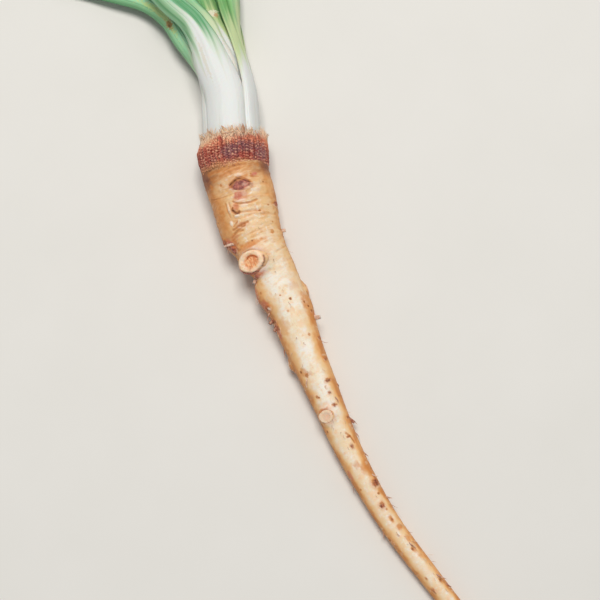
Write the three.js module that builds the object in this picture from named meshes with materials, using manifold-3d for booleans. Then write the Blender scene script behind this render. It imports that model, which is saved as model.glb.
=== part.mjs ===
// A salsify root as it is lifted and laid down: one long tapered taproot, a collar of dead leaf-base
// fibres round its crown, and nine strap leaves that spring from inside the collar.
//
// Millimetres, +Z up. +X runs from the crown to the tip of the root. The origin is on the surface
// that the root lies on, in the middle of the flat spot under its shoulder.
import * as THREE from "three";
import { mergeVertices } from "three/addons/utils/BufferGeometryUtils.js";
import Module from "manifold-3d";

const wasm = await Module();
wasm.setup();

// ---------------------------------------------------------------- driving dimensions

const SEED = 1847;

// The taproot, from its shoulder to its tip: [x, sideways bow y, height of the axis z, radius].
const TAPROOT = [
  [-15.3, 3.35, 16.5, 15.8],
  [-13.3, 2.6, 16.5, 15.8],
  [0, 0, 14.7, 15.6],
  [17, -3.0, 13.3, 14.2],
  [31, -3.3, 12.5, 12.6],
  [43, -2.7, 11.6, 11.0],
  [63, -3.2, 10.4, 9.7],
  [88, -4.8, 9.0, 8.2],
  [111, -5.6, 7.6, 7.0],
  [138, -6.0, 6.3, 5.9],
  [166, -3.6, 5.4, 5.1],
  [196, 2.0, 4.8, 4.8],
  [214, 6.2, 4.2, 4.5],
  [240, 13.0, 3.4, 3.6],
  [265, 18.6, 2.6, 2.6],
  [285, 21.5, 2.4, 1.7],
  [297, 22.4, 2.5, 0.9],
];
const TAPROOT_SIDES = 24;
const SHOULDER_END = 46;
const SHOULDER_STEP = 2.0;
const BODY_STEP = 4.6;
const WRINKLE_DEPTH = 0.3;
const WRINKLE_PITCH = 4.3;
// Lumps and hollows of the flanks: place along the root, degrees round it from the top towards +Y,
// rise, half length, and half width in degrees. The hollows are under the large cut stub.
const SWELLINGS = [
  [26, -85, -2.2, 4.5, 45],
  [36, -85, -4.0, 4.5, 45],
  [49, -80, 1.4, 6, 45],
  [61, -75, -0.8, 4, 40],
  [60, 85, 1.4, 7, 45],
];

// The neck: where the collar starts, which way the leaves leave it, and the crown inside the collar.
const NECK = new THREE.Vector3(-13.3, 2.6, 16.5);
const NECK_WAY = new THREE.Vector3(-0.936, 0.352, 0).normalize();
const CROWN_RADIUS = 13.9;
const CROWN_HEIGHT = 8.5;
const GAP = 0.3;

// The collar, measured along the neck from its lower edge: height, radius, and how much wider it is
// to the right of a leafward look than over the middle.
const COLLAR_BORE = 14.3;
const COLLAR_COLUMNS = 64;
const COLLAR_PROFILE = [
  [0.3, 15.9, 0],
  [2.5, 16.4, -0.2],
  [8, 16.8, -0.4],
  [13.5, 15.7, 0.6],
  [18, 15.3, 0.3],
];
const FRINGE_START = 14;
const FRINGE_THICKNESS = 0.8;
const FRINGE_LENGTH = [1.0, 3.8];
const FIBRE_RIB = 0.32;

// Cut stubs of side roots: place along the root, degrees round it from the top towards +Y,
// radius of the cut face across the root, its share of that along the root, and height over the skin.
const STUBS = [
  { x: 31.2, round: -30, radius: 6.3, oval: 0.76, height: 2.0 },
  { x: 111.2, round: -29, radius: 3.7, oval: 0.86, height: 1.1 },
  { x: 52, round: 108, radius: 3.2, oval: 0.9, height: 1.4 },
  { x: 83, round: -112, radius: 2.4, oval: 1, height: 1.2 },
];
const STUB_SIDES = 14;
// Low swollen scars: place, degrees round, half length across the root, half length along it, height.
const SCARS = [
  [-1.2, 3, 4.8, 2.2, 1.0],
  [18.5, -78, 2.4, 1.8, 1.1],
  [54.5, -62, 1.8, 1.4, 0.8],
  [8, 70, 3.2, 1.5, 0.7],
  [26, 105, 3.4, 1.7, 0.8],
  [5, -130, 3.6, 1.8, 0.8],
  [70, -125, 2.4, 1.2, 0.6],
  [76, 66, 1.9, 1.1, 0.5],
  [100, 78, 1.8, 1.0, 0.5],
  [149, 60, 1.8, 1.1, 0.6],
  [159, 18, 1.3, 1.6, 0.5],
  [131, -150, 1.8, 1.0, 0.5],
];
// Stumps of broken rootlets: place, degrees round, length, and lean towards the tip in degrees.
const STUMPS = [
  [37.5, -66, 3.4, 35],
  [60, -84, 2.6, 20],
  [63.5, -80, 2.2, 30],
  [66, 74, 2.8, 25],
  [115.5, 76, 3.2, 55],
  [22, 92, 2.4, 20],
];
const ROOTLET_COUNT = 20;
const ROOTLET_FROM = 48;
const ROOTLET_TO = 286;
const ROOTLET_LENGTH = [3, 6.5];
const ROOTLET_BASE = 0.6;
const ROOTLET_END = 0.35;

// The leaves. turn: degrees round the neck from the top towards the right of a leafward look.
// ring: distance of the midrib from the neck's line. wrap: half of the arc that the sheath spans, in
// degrees. blade: width of the strap. face: where the back of the blade looks at its tip.
// settle: the shares of its length between which the back turns that way.
// path: the midrib beyond the sheath, down to the tip.
const UP = [0, 0, 1];
const DOWN = [0, 0, -1];
const LEAVES = [
  {
    name: "leaf_1", turn: -110, ring: 13.0, wrap: 38, blade: 13, face: [-0.15, -0.35, 0.92],
    settle: [0.08, 0.32],
    path: [[-58, 5.6, 14.4], [-66.6, 7.6, 15.6], [-75.4, 8.5, 15.6], [-85.7, 7.5, 14.8],
      [-97.2, 6.3, 13.2], [-108.1, 1.9, 11.2], [-121.4, -9.6, 8.6], [-152, -45, 4.6],
      [-182, -63, 1.6], [-206, -73, 0.3]],
  },
  {
    name: "leaf_2", turn: -15, ring: 13.0, wrap: 47, blade: 12.5, face: UP,
    settle: [0.08, 0.32],
    path: [[-62.8, 13.8, 28.6], [-74.1, 14.8, 27.6], [-86.4, 13.9, 25.6], [-101.1, 8.7, 23.2],
      [-130, 2, 17], [-165, -10, 9], [-200, -26, 2.6], [-232, -42, 0.3]],
  },
  {
    name: "leaf_3", turn: 0, ring: 11.2, wrap: 31, blade: 10.5, face: UP,
    settle: [0.08, 0.32],
    path: [[-60, 19.6, 25.5], [-71.8, 19.4, 23.6], [-83.8, 19.6, 21.4], [-97.2, 16.3, 19],
      [-128.8, 10.6, 13], [-163.7, 3.7, 7], [-198, -7, 2], [-224, -13, 0.3]],
  },
  {
    name: "leaf_4", turn: 5, ring: 9.5, wrap: 33, blade: 11.5, face: UP,
    settle: [0.08, 0.32],
    path: [[-60, 22.6, 21.5], [-72, 23.4, 19.5], [-83.4, 22.9, 17.2], [-91.9, 24.0, 15.2],
      [-121, 27.0, 10.0], [-156.1, 27.0, 5.0], [-187.4, 24.5, 1.7], [-210.3, 22.5, 0.3]],
  },
  {
    name: "leaf_5", turn: 68, ring: 13.0, wrap: 29, blade: 13, face: [0, 0.15, 0.98],
    settle: [0.25, 0.5],
    path: [[-57, 29.8, 18.8], [-68.8, 31.5, 17.6], [-88.5, 35.7, 16.8], [-115.9, 44, 12.6],
      [-151.1, 53.8, 6], [-180.6, 61.6, 1.8], [-202, 67, 0.3]],
  },
  {
    name: "leaf_6", turn: 134, ring: 11.2, wrap: 31, blade: 10, face: DOWN,
    settle: [0.15, 0.45],
    path: [[-58, 27, 7.6], [-75, 31, 4.4], [-95, 34.5, 2.4], [-130, 39, 1.0], [-160, 44, 0.5],
      [-188, 49, 0.3]],
  },
  {
    name: "leaf_7", turn: 170, ring: 13.0, wrap: 34, blade: 10.5, face: DOWN,
    settle: [0.08, 0.32],
    path: [[-60, 18.8, 2.6], [-80, 18.4, 1.4], [-110, 19, 0.8], [-145, 21, 0.8], [-182, 24, 0.8]],
  },
  {
    name: "leaf_8", turn: -125, ring: 11.2, wrap: 40, blade: 10.5, face: DOWN,
    settle: [0.28, 0.5],
    path: [[-62, 13.4, 9.2], [-73.3, 13.9, 6.8], [-86.9, 11.8, 4.4], [-104.3, 5.8, 2.2],
      [-130, -2, 0.8], [-160, -9, 0.8], [-186, -16, 0.8]],
  },
  {
    name: "leaf_9", turn: 60, ring: 7.6, wrap: 36, blade: 6.5, face: UP,
    settle: [0.1, 0.5],
    path: [[-60, 23.4, 15.6], [-69.4, 26.7, 13.2], [-87.5, 34.1, 11.6], [-110.1, 39, 8.8],
      [-132.1, 41.5, 5.6]],
  },
];
const SHEATH_POINTS = [0, 14, 27];
const SHEATH_THICKNESS = 1.35;
const BLADE_THICKNESS = 0.9;
const TIP_THICKNESS = 0.65;
const MIDRIB_RISE = 0.35;
const TIP_WIDTH = 1.4;
const CHANNEL_HALF_ANGLE = THREE.MathUtils.degToRad(36);
const LEAF_STATIONS = 18;
const LEAF_STRIPS = 6;
const SHEATH_SHARE = 0.1;
const BLADE_SHARE = 0.32;
const TAPER_SHARE = 0.6;

const SKIN = { color: 0xe6c391, roughness: 0.62, metalness: 0 };
const FIBRE = { color: 0x8f4a35, roughness: 0.9, metalness: 0 };
const LEAF = { color: 0x7fb572, roughness: 0.5, metalness: 0 };

// ---------------------------------------------------------------- helpers

const radians = THREE.MathUtils.degToRad;
const lerp = THREE.MathUtils.lerp;
const smooth = THREE.MathUtils.smoothstep;

// A smooth line through one column of a table of stations, with x in column 0.
function through(stations, column) {
  const rise = (i) =>
    (stations[i + 1][column] - stations[i][column]) / (stations[i + 1][0] - stations[i][0]);
  const slope = (i) => {
    if (i === 0) return rise(0);
    if (i === stations.length - 1) return rise(i - 1);
    const [before, here, after] = [i - 1, i, i + 1].map((k) => stations[k][0]);
    return ((here - before) * rise(i) + (after - here) * rise(i - 1)) / (after - before);
  };
  return (x) => {
    let i = 0;
    while (i < stations.length - 2 && x > stations[i + 1][0]) i += 1;
    const [a, b] = [stations[i], stations[i + 1]];
    const run = b[0] - a[0];
    const t = THREE.MathUtils.clamp((x - a[0]) / run, 0, 1);
    const [t2, t3] = [t * t, t * t * t];
    return (
      a[column] * (2 * t3 - 3 * t2 + 1) +
      b[column] * (3 * t2 - 2 * t3) +
      slope(i) * run * (t3 - 2 * t2 + t) +
      slope(i + 1) * run * (t3 - t2)
    );
  };
}

// Seeded numbers between 0 and 1, the same on every run.
function seeded(seed) {
  let state = seed;
  return () => {
    state = (state * 1664525 + 1013904223) % 4294967296;
    return state / 4294967296;
  };
}

function geometryFrom(points, faces) {
  const positions = points.flatMap((p) => [p.x, p.y, p.z]);
  const geometry = new THREE.BufferGeometry();
  geometry.setAttribute("position", new THREE.Float32BufferAttribute(positions, 3));
  geometry.setIndex(faces.flat());
  return geometry;
}

// A closed skin over rings of points: each ring is joined to the next, and both ends are capped.
function tubeThrough(rings) {
  const sides = rings[0].length;
  const points = rings.flat();
  const faces = [];
  for (let k = 0; k + 1 < rings.length; k += 1) {
    for (let j = 0; j < sides; j += 1) {
      const [a, b] = [k * sides + j, k * sides + ((j + 1) % sides)];
      faces.push([a, b + sides, b], [a, a + sides, b + sides]);
    }
  }
  for (const [k, turn] of [[0, false], [rings.length - 1, true]]) {
    const middle = rings[k].reduce((sum, p) => sum.add(p), new THREE.Vector3());
    points.push(middle.divideScalar(sides));
    for (let j = 0; j < sides; j += 1) {
      const [a, b] = [k * sides + j, k * sides + ((j + 1) % sides)];
      faces.push(turn ? [points.length - 1, b, a] : [points.length - 1, a, b]);
    }
  }
  return geometryFrom(points, faces);
}

function solidOf(geometry) {
  const bare = geometry.clone();
  bare.deleteAttribute("normal");
  bare.deleteAttribute("uv");
  const merged = mergeVertices(bare, 1e-4);
  const mesh = new wasm.Mesh({
    numProp: 3,
    vertProperties: merged.attributes.position.array,
    triVerts: new Uint32Array(merged.index.array),
  });
  return new wasm.Manifold(mesh);
}

function geometryOf(solid) {
  const mesh = solid.getMesh();
  const geometry = new THREE.BufferGeometry();
  geometry.setAttribute("position", new THREE.Float32BufferAttribute(mesh.vertProperties, 3));
  geometry.setIndex(new THREE.BufferAttribute(mesh.triVerts, 1));
  return geometry;
}

function piece(name, geometry, finish) {
  geometry.computeVertexNormals();
  const mesh = new THREE.Mesh(geometry, new THREE.MeshStandardMaterial(finish));
  mesh.name = name;
  return mesh;
}

// ---------------------------------------------------------------- taproot

const bowAt = through(TAPROOT, 1);
const heightAt = through(TAPROOT, 2);
const radiusAt = through(TAPROOT, 3);

// The axis at x, with the way along it, the way up across it and the way to the side.
function axisAt(x) {
  const step = 0.5;
  const at = new THREE.Vector3(x, bowAt(x), heightAt(x));
  const along = new THREE.Vector3(
    2 * step,
    bowAt(x + step) - bowAt(x - step),
    heightAt(x + step) - heightAt(x - step),
  ).normalize();
  const side = new THREE.Vector3(0, 0, 1).cross(along).normalize();
  const up = along.clone().cross(side);
  return { at, along, side, up };
}

function swellingAt(x, round) {
  return SWELLINGS.reduce((sum, [place, turn, rise, half, arc]) => {
    const away = THREE.MathUtils.euclideanModulo(round - radians(turn) + Math.PI, 2 * Math.PI) - Math.PI;
    return sum + rise * Math.exp(-(((x - place) / half) ** 2) - (away / radians(arc)) ** 2);
  }, 0);
}

// How far the skin stands off its round: oval flanks, slow swellings, and rings of wrinkles that are
// deep on the shoulder and fade along the body.
function relief(x, round) {
  const radius = radiusAt(x);
  const oval = 0.02 * radius * Math.cos(2 * (round - 0.7));
  const swell = 0.018 * radius * Math.sin(0.13 * x + 1.7 * Math.sin(round + 0.4));
  const slant = 1.3 * Math.sin(2 * round + 1) + 0.8 * Math.sin(3 * round + 0.05 * x);
  const fade = lerp(1, 0.3, smooth(x, 20, 60)) * smooth(x, -12, -6) * smooth(radius, 1, 5);
  const wrinkle = WRINKLE_DEPTH * fade * Math.sin((2 * Math.PI * (x + slant)) / WRINKLE_PITCH);
  return oval + swell + wrinkle + swellingAt(x, round);
}

function skinAt(x, round, extra = 0) {
  const { at, side, up } = axisAt(x);
  const out = up.multiplyScalar(Math.cos(round)).addScaledVector(side, Math.sin(round));
  return at.addScaledVector(out, radiusAt(x) + relief(x, round) + extra);
}

function ringAt(x) {
  const ring = [];
  for (let j = 0; j < TAPROOT_SIDES; j += 1) {
    const point = skinAt(x, (2 * Math.PI * j) / TAPROOT_SIDES);
    point.z = Math.max(point.z, 0);
    ring.push(point);
  }
  return ring;
}

// A point of the neck: so far along it, so far out from it, turned so many radians from the top.
const NECK_RIGHT = NECK_WAY.clone().cross(new THREE.Vector3(0, 0, 1));
function neckAt(along, radius, turn) {
  return NECK.clone()
    .addScaledVector(NECK_WAY, along)
    .addScaledVector(NECK_RIGHT, radius * Math.sin(turn))
    .add(new THREE.Vector3(0, 0, radius * Math.cos(turn)));
}

function neckRing(along, radius) {
  const ring = [];
  for (let j = 0; j < TAPROOT_SIDES; j += 1) {
    ring.push(neckAt(along, radius, (2 * Math.PI * j) / TAPROOT_SIDES));
  }
  return ring;
}

function bodySolid() {
  const rings = [
    neckRing(CROWN_HEIGHT, CROWN_RADIUS),
    neckRing(0, CROWN_RADIUS),
    neckRing(0, radiusAt(NECK.x)),
  ];
  const last = TAPROOT[TAPROOT.length - 1][0];
  let x = NECK.x;
  while (x < last - BODY_STEP) {
    x += x < SHOULDER_END ? SHOULDER_STEP : BODY_STEP;
    rings.push(ringAt(x));
  }
  rings.push(ringAt(last));
  return solidOf(tubeThrough(rings));
}

// Sets a form that stands on its own +Z upright on the skin, leaning towards the tip.
function onSkin(geometry, x, round, sink, lean = 0) {
  const { along, side, up } = axisAt(x);
  const out = up.multiplyScalar(Math.cos(round)).addScaledVector(side, Math.sin(round));
  const across = out.clone().cross(along).normalize();
  const tilted = out.clone().applyAxisAngle(across, lean);
  const level = across.clone().cross(tilted);
  const place = new THREE.Matrix4().makeBasis(level, across, tilted);
  place.setPosition(skinAt(x, round, -sink));
  return geometry.applyMatrix4(place);
}

// The cut end of a side root: a flared foot, a rolled rim and a hollow round the core.
function stubSolid({ x, round, radius, oval, height }) {
  const foot = 3.5;
  const profile = [
    [0, -foot],
    [1.3 * radius, -foot],
    [1.28 * radius, -0.5],
    [1.06 * radius, 0.5 * height],
    [radius, 0.85 * height],
    [0.86 * radius, height],
    [0.6 * radius, 0.86 * height],
    [0.34 * radius, 0.72 * height],
    [0, 0.78 * height],
  ].map(([r, h]) => new THREE.Vector2(r, h));
  const end = new THREE.LatheGeometry(profile, STUB_SIDES).scale(oval, 1, 1);
  return solidOf(onSkin(end, x, radians(round), 0));
}

function scarSolid([x, round, across, along, height]) {
  const lens = new THREE.IcosahedronGeometry(1, 1).scale(along, across, 2 * height);
  return solidOf(onSkin(lens, x, radians(round), height));
}

function stumpSolid([x, round, length, lean]) {
  const stump = new THREE.CylinderGeometry(0.65, 1.0, length + 2, 7);
  stump.rotateX(Math.PI / 2).translate(0, 0, length / 2);
  return solidOf(onSkin(stump, x, radians(round), 1, radians(lean)));
}

// Thin side roots, thrown evenly down the body and kept clear of the surface that it lies on.
function rootletSolids() {
  const random = seeded(SEED);
  const made = [];
  while (made.length < ROOTLET_COUNT) {
    const share = (made.length + 0.7 * random()) / ROOTLET_COUNT;
    const x = lerp(ROOTLET_FROM, ROOTLET_TO, share);
    const round = 2 * Math.PI * random();
    const length = lerp(...ROOTLET_LENGTH, random());
    const lean = radians(lerp(40, 68, random()));
    const thread = new THREE.CylinderGeometry(ROOTLET_END, ROOTLET_BASE, length + 1.5, 5);
    thread.rotateX(Math.PI / 2).translate(0, 0, length / 2);
    onSkin(thread, x, round, 0.8, lean).computeBoundingBox();
    if (thread.boundingBox.min.z > 0.5) made.push(solidOf(thread));
  }
  return made;
}

function taproot() {
  const growths = [
    ...STUBS.map(stubSolid),
    ...SCARS.map(scarSolid),
    ...STUMPS.map(stumpSolid),
    ...rootletSolids(),
  ];
  const whole = growths.reduce((sum, growth) => sum.add(growth), bodySolid());
  return piece("taproot", geometryOf(whole), SKIN);
}

// ---------------------------------------------------------------- collar

const collarRadiusAt = through(COLLAR_PROFILE, 1);
const collarLeanAt = through(COLLAR_PROFILE, 2);

function collarAt(along, turn, extra) {
  const radius = collarRadiusAt(along) + collarLeanAt(along) * Math.sin(turn);
  return neckAt(along, radius + extra, turn);
}

// One upright section of the collar: up its ribbed outside, over its fringe and down its bore.
function collarSection(column, random) {
  const turn = (2 * Math.PI * column) / COLLAR_COLUMNS;
  const standing = column % 2 === 0;
  const rib = standing ? FIBRE_RIB : -FIBRE_RIB;
  const reach = standing ? lerp(...FRINGE_LENGTH, random()) : 0.8 * random();
  const top = FRINGE_START + reach;
  const outside = COLLAR_PROFILE.slice(0, -1).map(([along], i) =>
    collarAt(along, turn, i === 0 ? 0 : rib),
  );
  const fringe = [collarAt(top, turn, 0), collarAt(top - 0.4, turn, -FRINGE_THICKNESS)];
  const bore = [0.5 * FRINGE_START, GAP].map((along) => neckAt(along, COLLAR_BORE, turn));
  const section = [...outside, ...fringe, ...bore];
  for (const point of section) point.z = Math.max(point.z, 0);
  return section;
}

function fibreCollar() {
  const random = seeded(SEED + 1);
  const points = [];
  const faces = [];
  for (let column = 0; column < COLLAR_COLUMNS; column += 1) {
    points.push(...collarSection(column, random));
  }
  const rows = points.length / COLLAR_COLUMNS;
  for (let column = 0; column < COLLAR_COLUMNS; column += 1) {
    const next = (column + 1) % COLLAR_COLUMNS;
    for (let row = 0; row < rows; row += 1) {
      const over = (row + 1) % rows;
      const [a, b] = [column * rows + row, next * rows + row];
      const [c, d] = [next * rows + over, column * rows + over];
      faces.push([a, b, c], [a, c, d]);
    }
  }
  return piece("fibre_collar", geometryFrom(points, faces), FIBRE);
}

// ---------------------------------------------------------------- leaves

function leafPath({ turn, ring, path }) {
  const sheath = SHEATH_POINTS.map((along) =>
    neckAt(CROWN_HEIGHT + GAP + along, ring, radians(turn)),
  );
  const blade = path.map((point) => new THREE.Vector3(...point));
  return new THREE.CatmullRomCurve3([...sheath, ...blade], false, "centripetal");
}

// Width, thickness and half of the bend across the leaf, at a share of its length.
function leafSection({ ring, wrap, blade }, share) {
  const open = smooth(share, SHEATH_SHARE, BLADE_SHARE);
  const taper = 1 - THREE.MathUtils.clamp((share - TAPER_SHARE) / (1 - TAPER_SHARE), 0, 1) ** 1.7;
  const width = lerp(2 * ring * radians(wrap), Math.max(blade * taper, TIP_WIDTH), open);
  const bend = lerp(radians(wrap), lerp(radians(15), CHANNEL_HALF_ANGLE, taper), open);
  const thin = lerp(SHEATH_THICKNESS, BLADE_THICKNESS, open);
  const thickness = lerp(TIP_THICKNESS, thin, taper);
  const rise = MIDRIB_RISE * lerp(0.2, 1, open) * taper;
  return { width, bend, thickness, rise };
}

// A leaf is a sheet bent across its midrib. Its back and its face have the same grid, split alike.
function leaf(shape) {
  const curve = leafPath(shape);
  const start = neckAt(0, 1, radians(shape.turn)).sub(NECK);
  const end = new THREE.Vector3(...shape.face);
  const row = LEAF_STRIPS + 1;
  const [back, front] = [[], []];
  for (let k = 0; k <= LEAF_STATIONS; k += 1) {
    const share = k / LEAF_STATIONS;
    const along = curve.getTangentAt(share);
    const out = start.clone().lerp(end, smooth(share, ...shape.settle));
    out.addScaledVector(along, -out.dot(along)).normalize();
    const across = along.clone().cross(out);
    const { width, bend, thickness, rise } = leafSection(shape, share);
    const radius = width / (2 * bend);
    for (let i = 0; i < row; i += 1) {
      const side = (2 * i) / LEAF_STRIPS - 1;
      const normal = out.clone().multiplyScalar(Math.cos(side * bend));
      normal.addScaledVector(across, Math.sin(side * bend));
      const sheet = curve.getPointAt(share).addScaledVector(out, -radius);
      sheet.addScaledVector(normal, radius);
      const rib = i === LEAF_STRIPS / 2 ? rise : 0;
      const outer = sheet.clone().addScaledVector(normal, thickness / 2 + rib);
      const inner = sheet.clone().addScaledVector(normal, -thickness / 2);
      const sunk = Math.min(outer.z, inner.z, 0);
      outer.z -= sunk;
      inner.z -= sunk;
      back.push(outer);
      front.push(inner);
    }
  }
  const face = back.length;
  const faces = [];
  for (let k = 0; k < LEAF_STATIONS; k += 1) {
    for (let i = 0; i < LEAF_STRIPS; i += 1) {
      const [a, b] = [k * row + i, (k + 1) * row + i];
      faces.push([a, a + 1, b + 1], [a, b + 1, b]);
      faces.push([face + a, face + b + 1, face + a + 1], [face + a, face + b, face + b + 1]);
    }
    const [left, right] = [k * row, k * row + LEAF_STRIPS];
    faces.push([left, left + row, face + left + row], [left, face + left + row, face + left]);
    faces.push([right, face + right + row, right + row], [right, face + right, face + right + row]);
  }
  for (let i = 0; i < LEAF_STRIPS; i += 1) {
    const tip = LEAF_STATIONS * row + i;
    faces.push([i, face + i, face + i + 1], [i, face + i + 1, i + 1]);
    faces.push([tip, face + tip + 1, face + tip], [tip, tip + 1, face + tip + 1]);
  }
  return piece(shape.name, geometryFrom([...back, ...front], faces), LEAF);
}

// ---------------------------------------------------------------- the whole plant

const salsify = new THREE.Group();
salsify.add(taproot(), fibreCollar(), ...LEAVES.map(leaf));
export default salsify;
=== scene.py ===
# %% [markdown]
# # A salsify root with its leaves, laid down
# Salsify is grown for its long pale taproot. It is lifted in autumn with its leaves on: a wrinkled cream
# root, a collar of dead red-brown fibres round its crown, and strap leaves that are white where they
# spring from the collar and green further out. The solids of the part give the true sizes. This lesson
# dresses them: each piece is built again with a far finer mesh of the same form, and gets its own finish.

# %% Load the solids
import math

import bpy
import numpy as np
from mathutils import Matrix, Vector, noise


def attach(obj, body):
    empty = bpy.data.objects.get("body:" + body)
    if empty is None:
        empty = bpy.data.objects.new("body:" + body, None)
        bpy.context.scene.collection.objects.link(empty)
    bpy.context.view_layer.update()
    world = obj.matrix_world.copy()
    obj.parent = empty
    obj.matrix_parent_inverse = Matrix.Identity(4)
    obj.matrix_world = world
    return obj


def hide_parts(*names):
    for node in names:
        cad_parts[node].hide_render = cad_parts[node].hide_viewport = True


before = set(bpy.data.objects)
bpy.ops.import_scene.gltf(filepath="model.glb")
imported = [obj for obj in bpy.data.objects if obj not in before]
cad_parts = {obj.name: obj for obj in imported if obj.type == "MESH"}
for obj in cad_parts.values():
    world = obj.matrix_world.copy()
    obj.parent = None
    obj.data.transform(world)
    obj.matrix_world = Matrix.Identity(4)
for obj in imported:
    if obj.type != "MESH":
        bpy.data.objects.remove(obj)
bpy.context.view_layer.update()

# %% [markdown]
# ## Millimetres, grids and threads
# A root is measured in millimetres, and a scene is built in metres, so every table here is in
# millimetres and is scaled once, when its mesh is made. Two kinds of mesh are enough for the whole plant:
# a grid of points joined into quads (skin, cut ends, stumps, leaves, and the collar's ring and scraps) and
# bundles of thin threads (fibres and rootlets). They could be sculpted by hand or grown with hair curves.
# Meshes made from tables keep their size exactly, and they are still there when the model is exported.

# %% A mesh from points in millimetres
MM = 0.001


def unit(vectors):
    return vectors / np.linalg.norm(vectors, axis=-1, keepdims=True)


def add_piece(name, points, faces, slot, marks):
    """One smooth piece on the plant, with no point of it under the surface that the plant lies on. Each of
    its marks holds a number for every point, for the finish to read."""
    mesh = bpy.data.meshes.new(name)
    resting = np.maximum(points, [-np.inf, -np.inf, 0.0])
    mesh.from_pydata((resting * MM).tolist(), [], faces)
    for mark, values in marks.items():
        layer = mesh.attributes.new(mark, "FLOAT", "POINT")
        layer.data.foreach_set("value", np.asarray(values, np.float32).ravel())
    mesh.polygons.foreach_set("use_smooth", [True] * len(mesh.polygons))
    piece = bpy.data.objects.new(name, mesh)
    bpy.context.scene.collection.objects.link(piece)
    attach(piece, "root")
    triangles = sum(len(face) - 2 for face in faces)
    print(f"{name}: {len(mesh.vertices)} points, {triangles} triangles")
    return piece


# %% Quads over a grid, round forms, sheets and meshes in several parts
def grid_faces(rows, columns, closed):
    """Quads over a grid of points, facing out where the rows run along and the columns turn round."""
    start = np.arange(rows - 1)[:, None] * columns
    here = start + np.arange(columns if closed else columns - 1)[None, :]
    beside = start + (np.arange(here.shape[1])[None, :] + 1) % columns
    return np.stack([here, here + columns, beside + columns, beside], -1).reshape(-1, 4).tolist()


def round_faces(rows, columns):
    """Faces of a round form whose rows climb, closed at its foot and at its top."""
    top = (rows - 1) * columns
    walls = [face[::-1] for face in grid_faces(rows, columns, True)]
    return walls + [list(range(columns))[::-1], list(range(top, top + columns))]


def sheet_faces(rows, columns):
    """Faces of a closed sheet: a grid of points for its back, one for its front, and its narrow edges."""
    size = rows * columns
    quads = np.array(grid_faces(rows, columns, False))
    edge = [k * columns for k in range(rows)]
    edge += [size - columns + k for k in range(1, columns)]
    edge += [k * columns + columns - 1 for k in range(rows - 2, -1, -1)]
    edge += list(range(columns - 2, 0, -1))
    walls = [[a, b, b + size, a + size] for a, b in zip(edge, edge[1:] + edge[:1])]
    return quads[:, ::-1].tolist() + (quads + size).tolist() + walls


def join_parts(parts):
    """The points and faces of several parts as those of one mesh."""
    faces = []
    first = 0
    for points, part_faces in parts:
        faces += [[first + k for k in face] for face in part_faces]
        first += len(points)
    return np.concatenate([points for points, _ in parts]), faces


# %% Threads along paths
def thread_mesh(paths, radii, outward, sides):
    """Closed thin tubes, one along each path. paths is threads x points x 3, radii threads x points."""
    along = unit(np.gradient(paths, axis=1))
    first = unit(np.cross(along, outward[:, None, :]))
    second = np.cross(first, along)
    turn = np.arange(sides) * 2 * math.pi / sides
    ring = np.cos(turn)[:, None] * first[:, :, None, :] + np.sin(turn)[:, None] * second[:, :, None, :]
    points = paths[:, :, None, :] + radii[:, :, None, None] * ring
    threads, length = paths.shape[:2]
    one = np.array(grid_faces(length, sides, True))
    size = length * sides
    starts = np.arange(threads)[:, None] * size
    walls = (starts[:, :, None] + one[None]).reshape(-1, 4).tolist()
    feet = (starts + np.arange(sides)).tolist()
    tips = (starts + size - 1 - np.arange(sides)).tolist()
    return points.reshape(-1, 3), walls + feet + tips


# %% Smooth unevenness, the same on every run
def uneven(points, size, shift=0.0):
    """A number between -1 and 1 at each point, with lumps about that many millimetres across."""
    flat = np.asarray(points).reshape(-1, 3) / size + shift
    values = [noise.noise(point) for point in flat.tolist()]
    return np.array(values).reshape(np.asarray(points).shape[:-1])


def ease(value, low, high):
    """0 below low, 1 above high, and a soft step between them."""
    share = np.clip((np.asarray(value, float) - low) / (high - low), 0, 1)
    return share * share * (3 - 2 * share)


def blend(start, end, share):
    return start + (end - start) * share


def bend_between(start, end, leave, arrive, t):
    """The way from start to end as t goes from 0 to 1, for something that leaves and arrives so fast."""
    on_the_way = start * (2 * t**3 - 3 * t**2 + 1) + end * (3 * t**2 - 2 * t**3)
    return on_the_way + leave * (t**3 - 2 * t**2 + t) + arrive * (t**3 - t**2)


# %% [markdown]
# ## The taproot's form
# The taproot is one long cone that leans and bows a little, thickest just under the collar. The table
# gives its axis and its radius at places along it, and a smooth line runs through each column. A cone
# bent by hand would do for the form, but nothing could be found on it again. Here a point of the skin
# follows from two numbers: how far along the root it is, and how far it is turned round from the top.
# Every scar, wrinkle and rootlet below is placed by these two numbers.

# %% Stations along the taproot: along, sideways bow, height of the axis, radius
TAPROOT = np.array([
    [-15.3, 3.35, 16.5, 15.8],
    [-13.3, 2.6, 16.5, 15.8],
    [0, 0, 14.7, 15.6],
    [17, -3.0, 13.3, 14.2],
    [31, -3.3, 12.5, 12.6],
    [43, -2.7, 11.6, 11.0],
    [63, -3.2, 10.4, 9.7],
    [88, -4.8, 9.0, 8.2],
    [111, -5.6, 7.6, 7.0],
    [138, -6.0, 6.3, 5.9],
    [166, -3.6, 5.4, 5.1],
    [196, 2.0, 4.8, 4.8],
    [214, 6.2, 4.2, 4.5],
    [240, 13.0, 3.4, 3.6],
    [265, 18.6, 2.6, 2.6],
    [285, 21.5, 2.4, 1.7],
    [297, 22.4, 2.5, 0.9],
])
ROOT_START = TAPROOT[1, 0]
ROOT_END = TAPROOT[-1, 0]
print("taproot from the neck to the tip, lengthwise:", round(float(ROOT_END - ROOT_START), 1), "mm")


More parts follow.
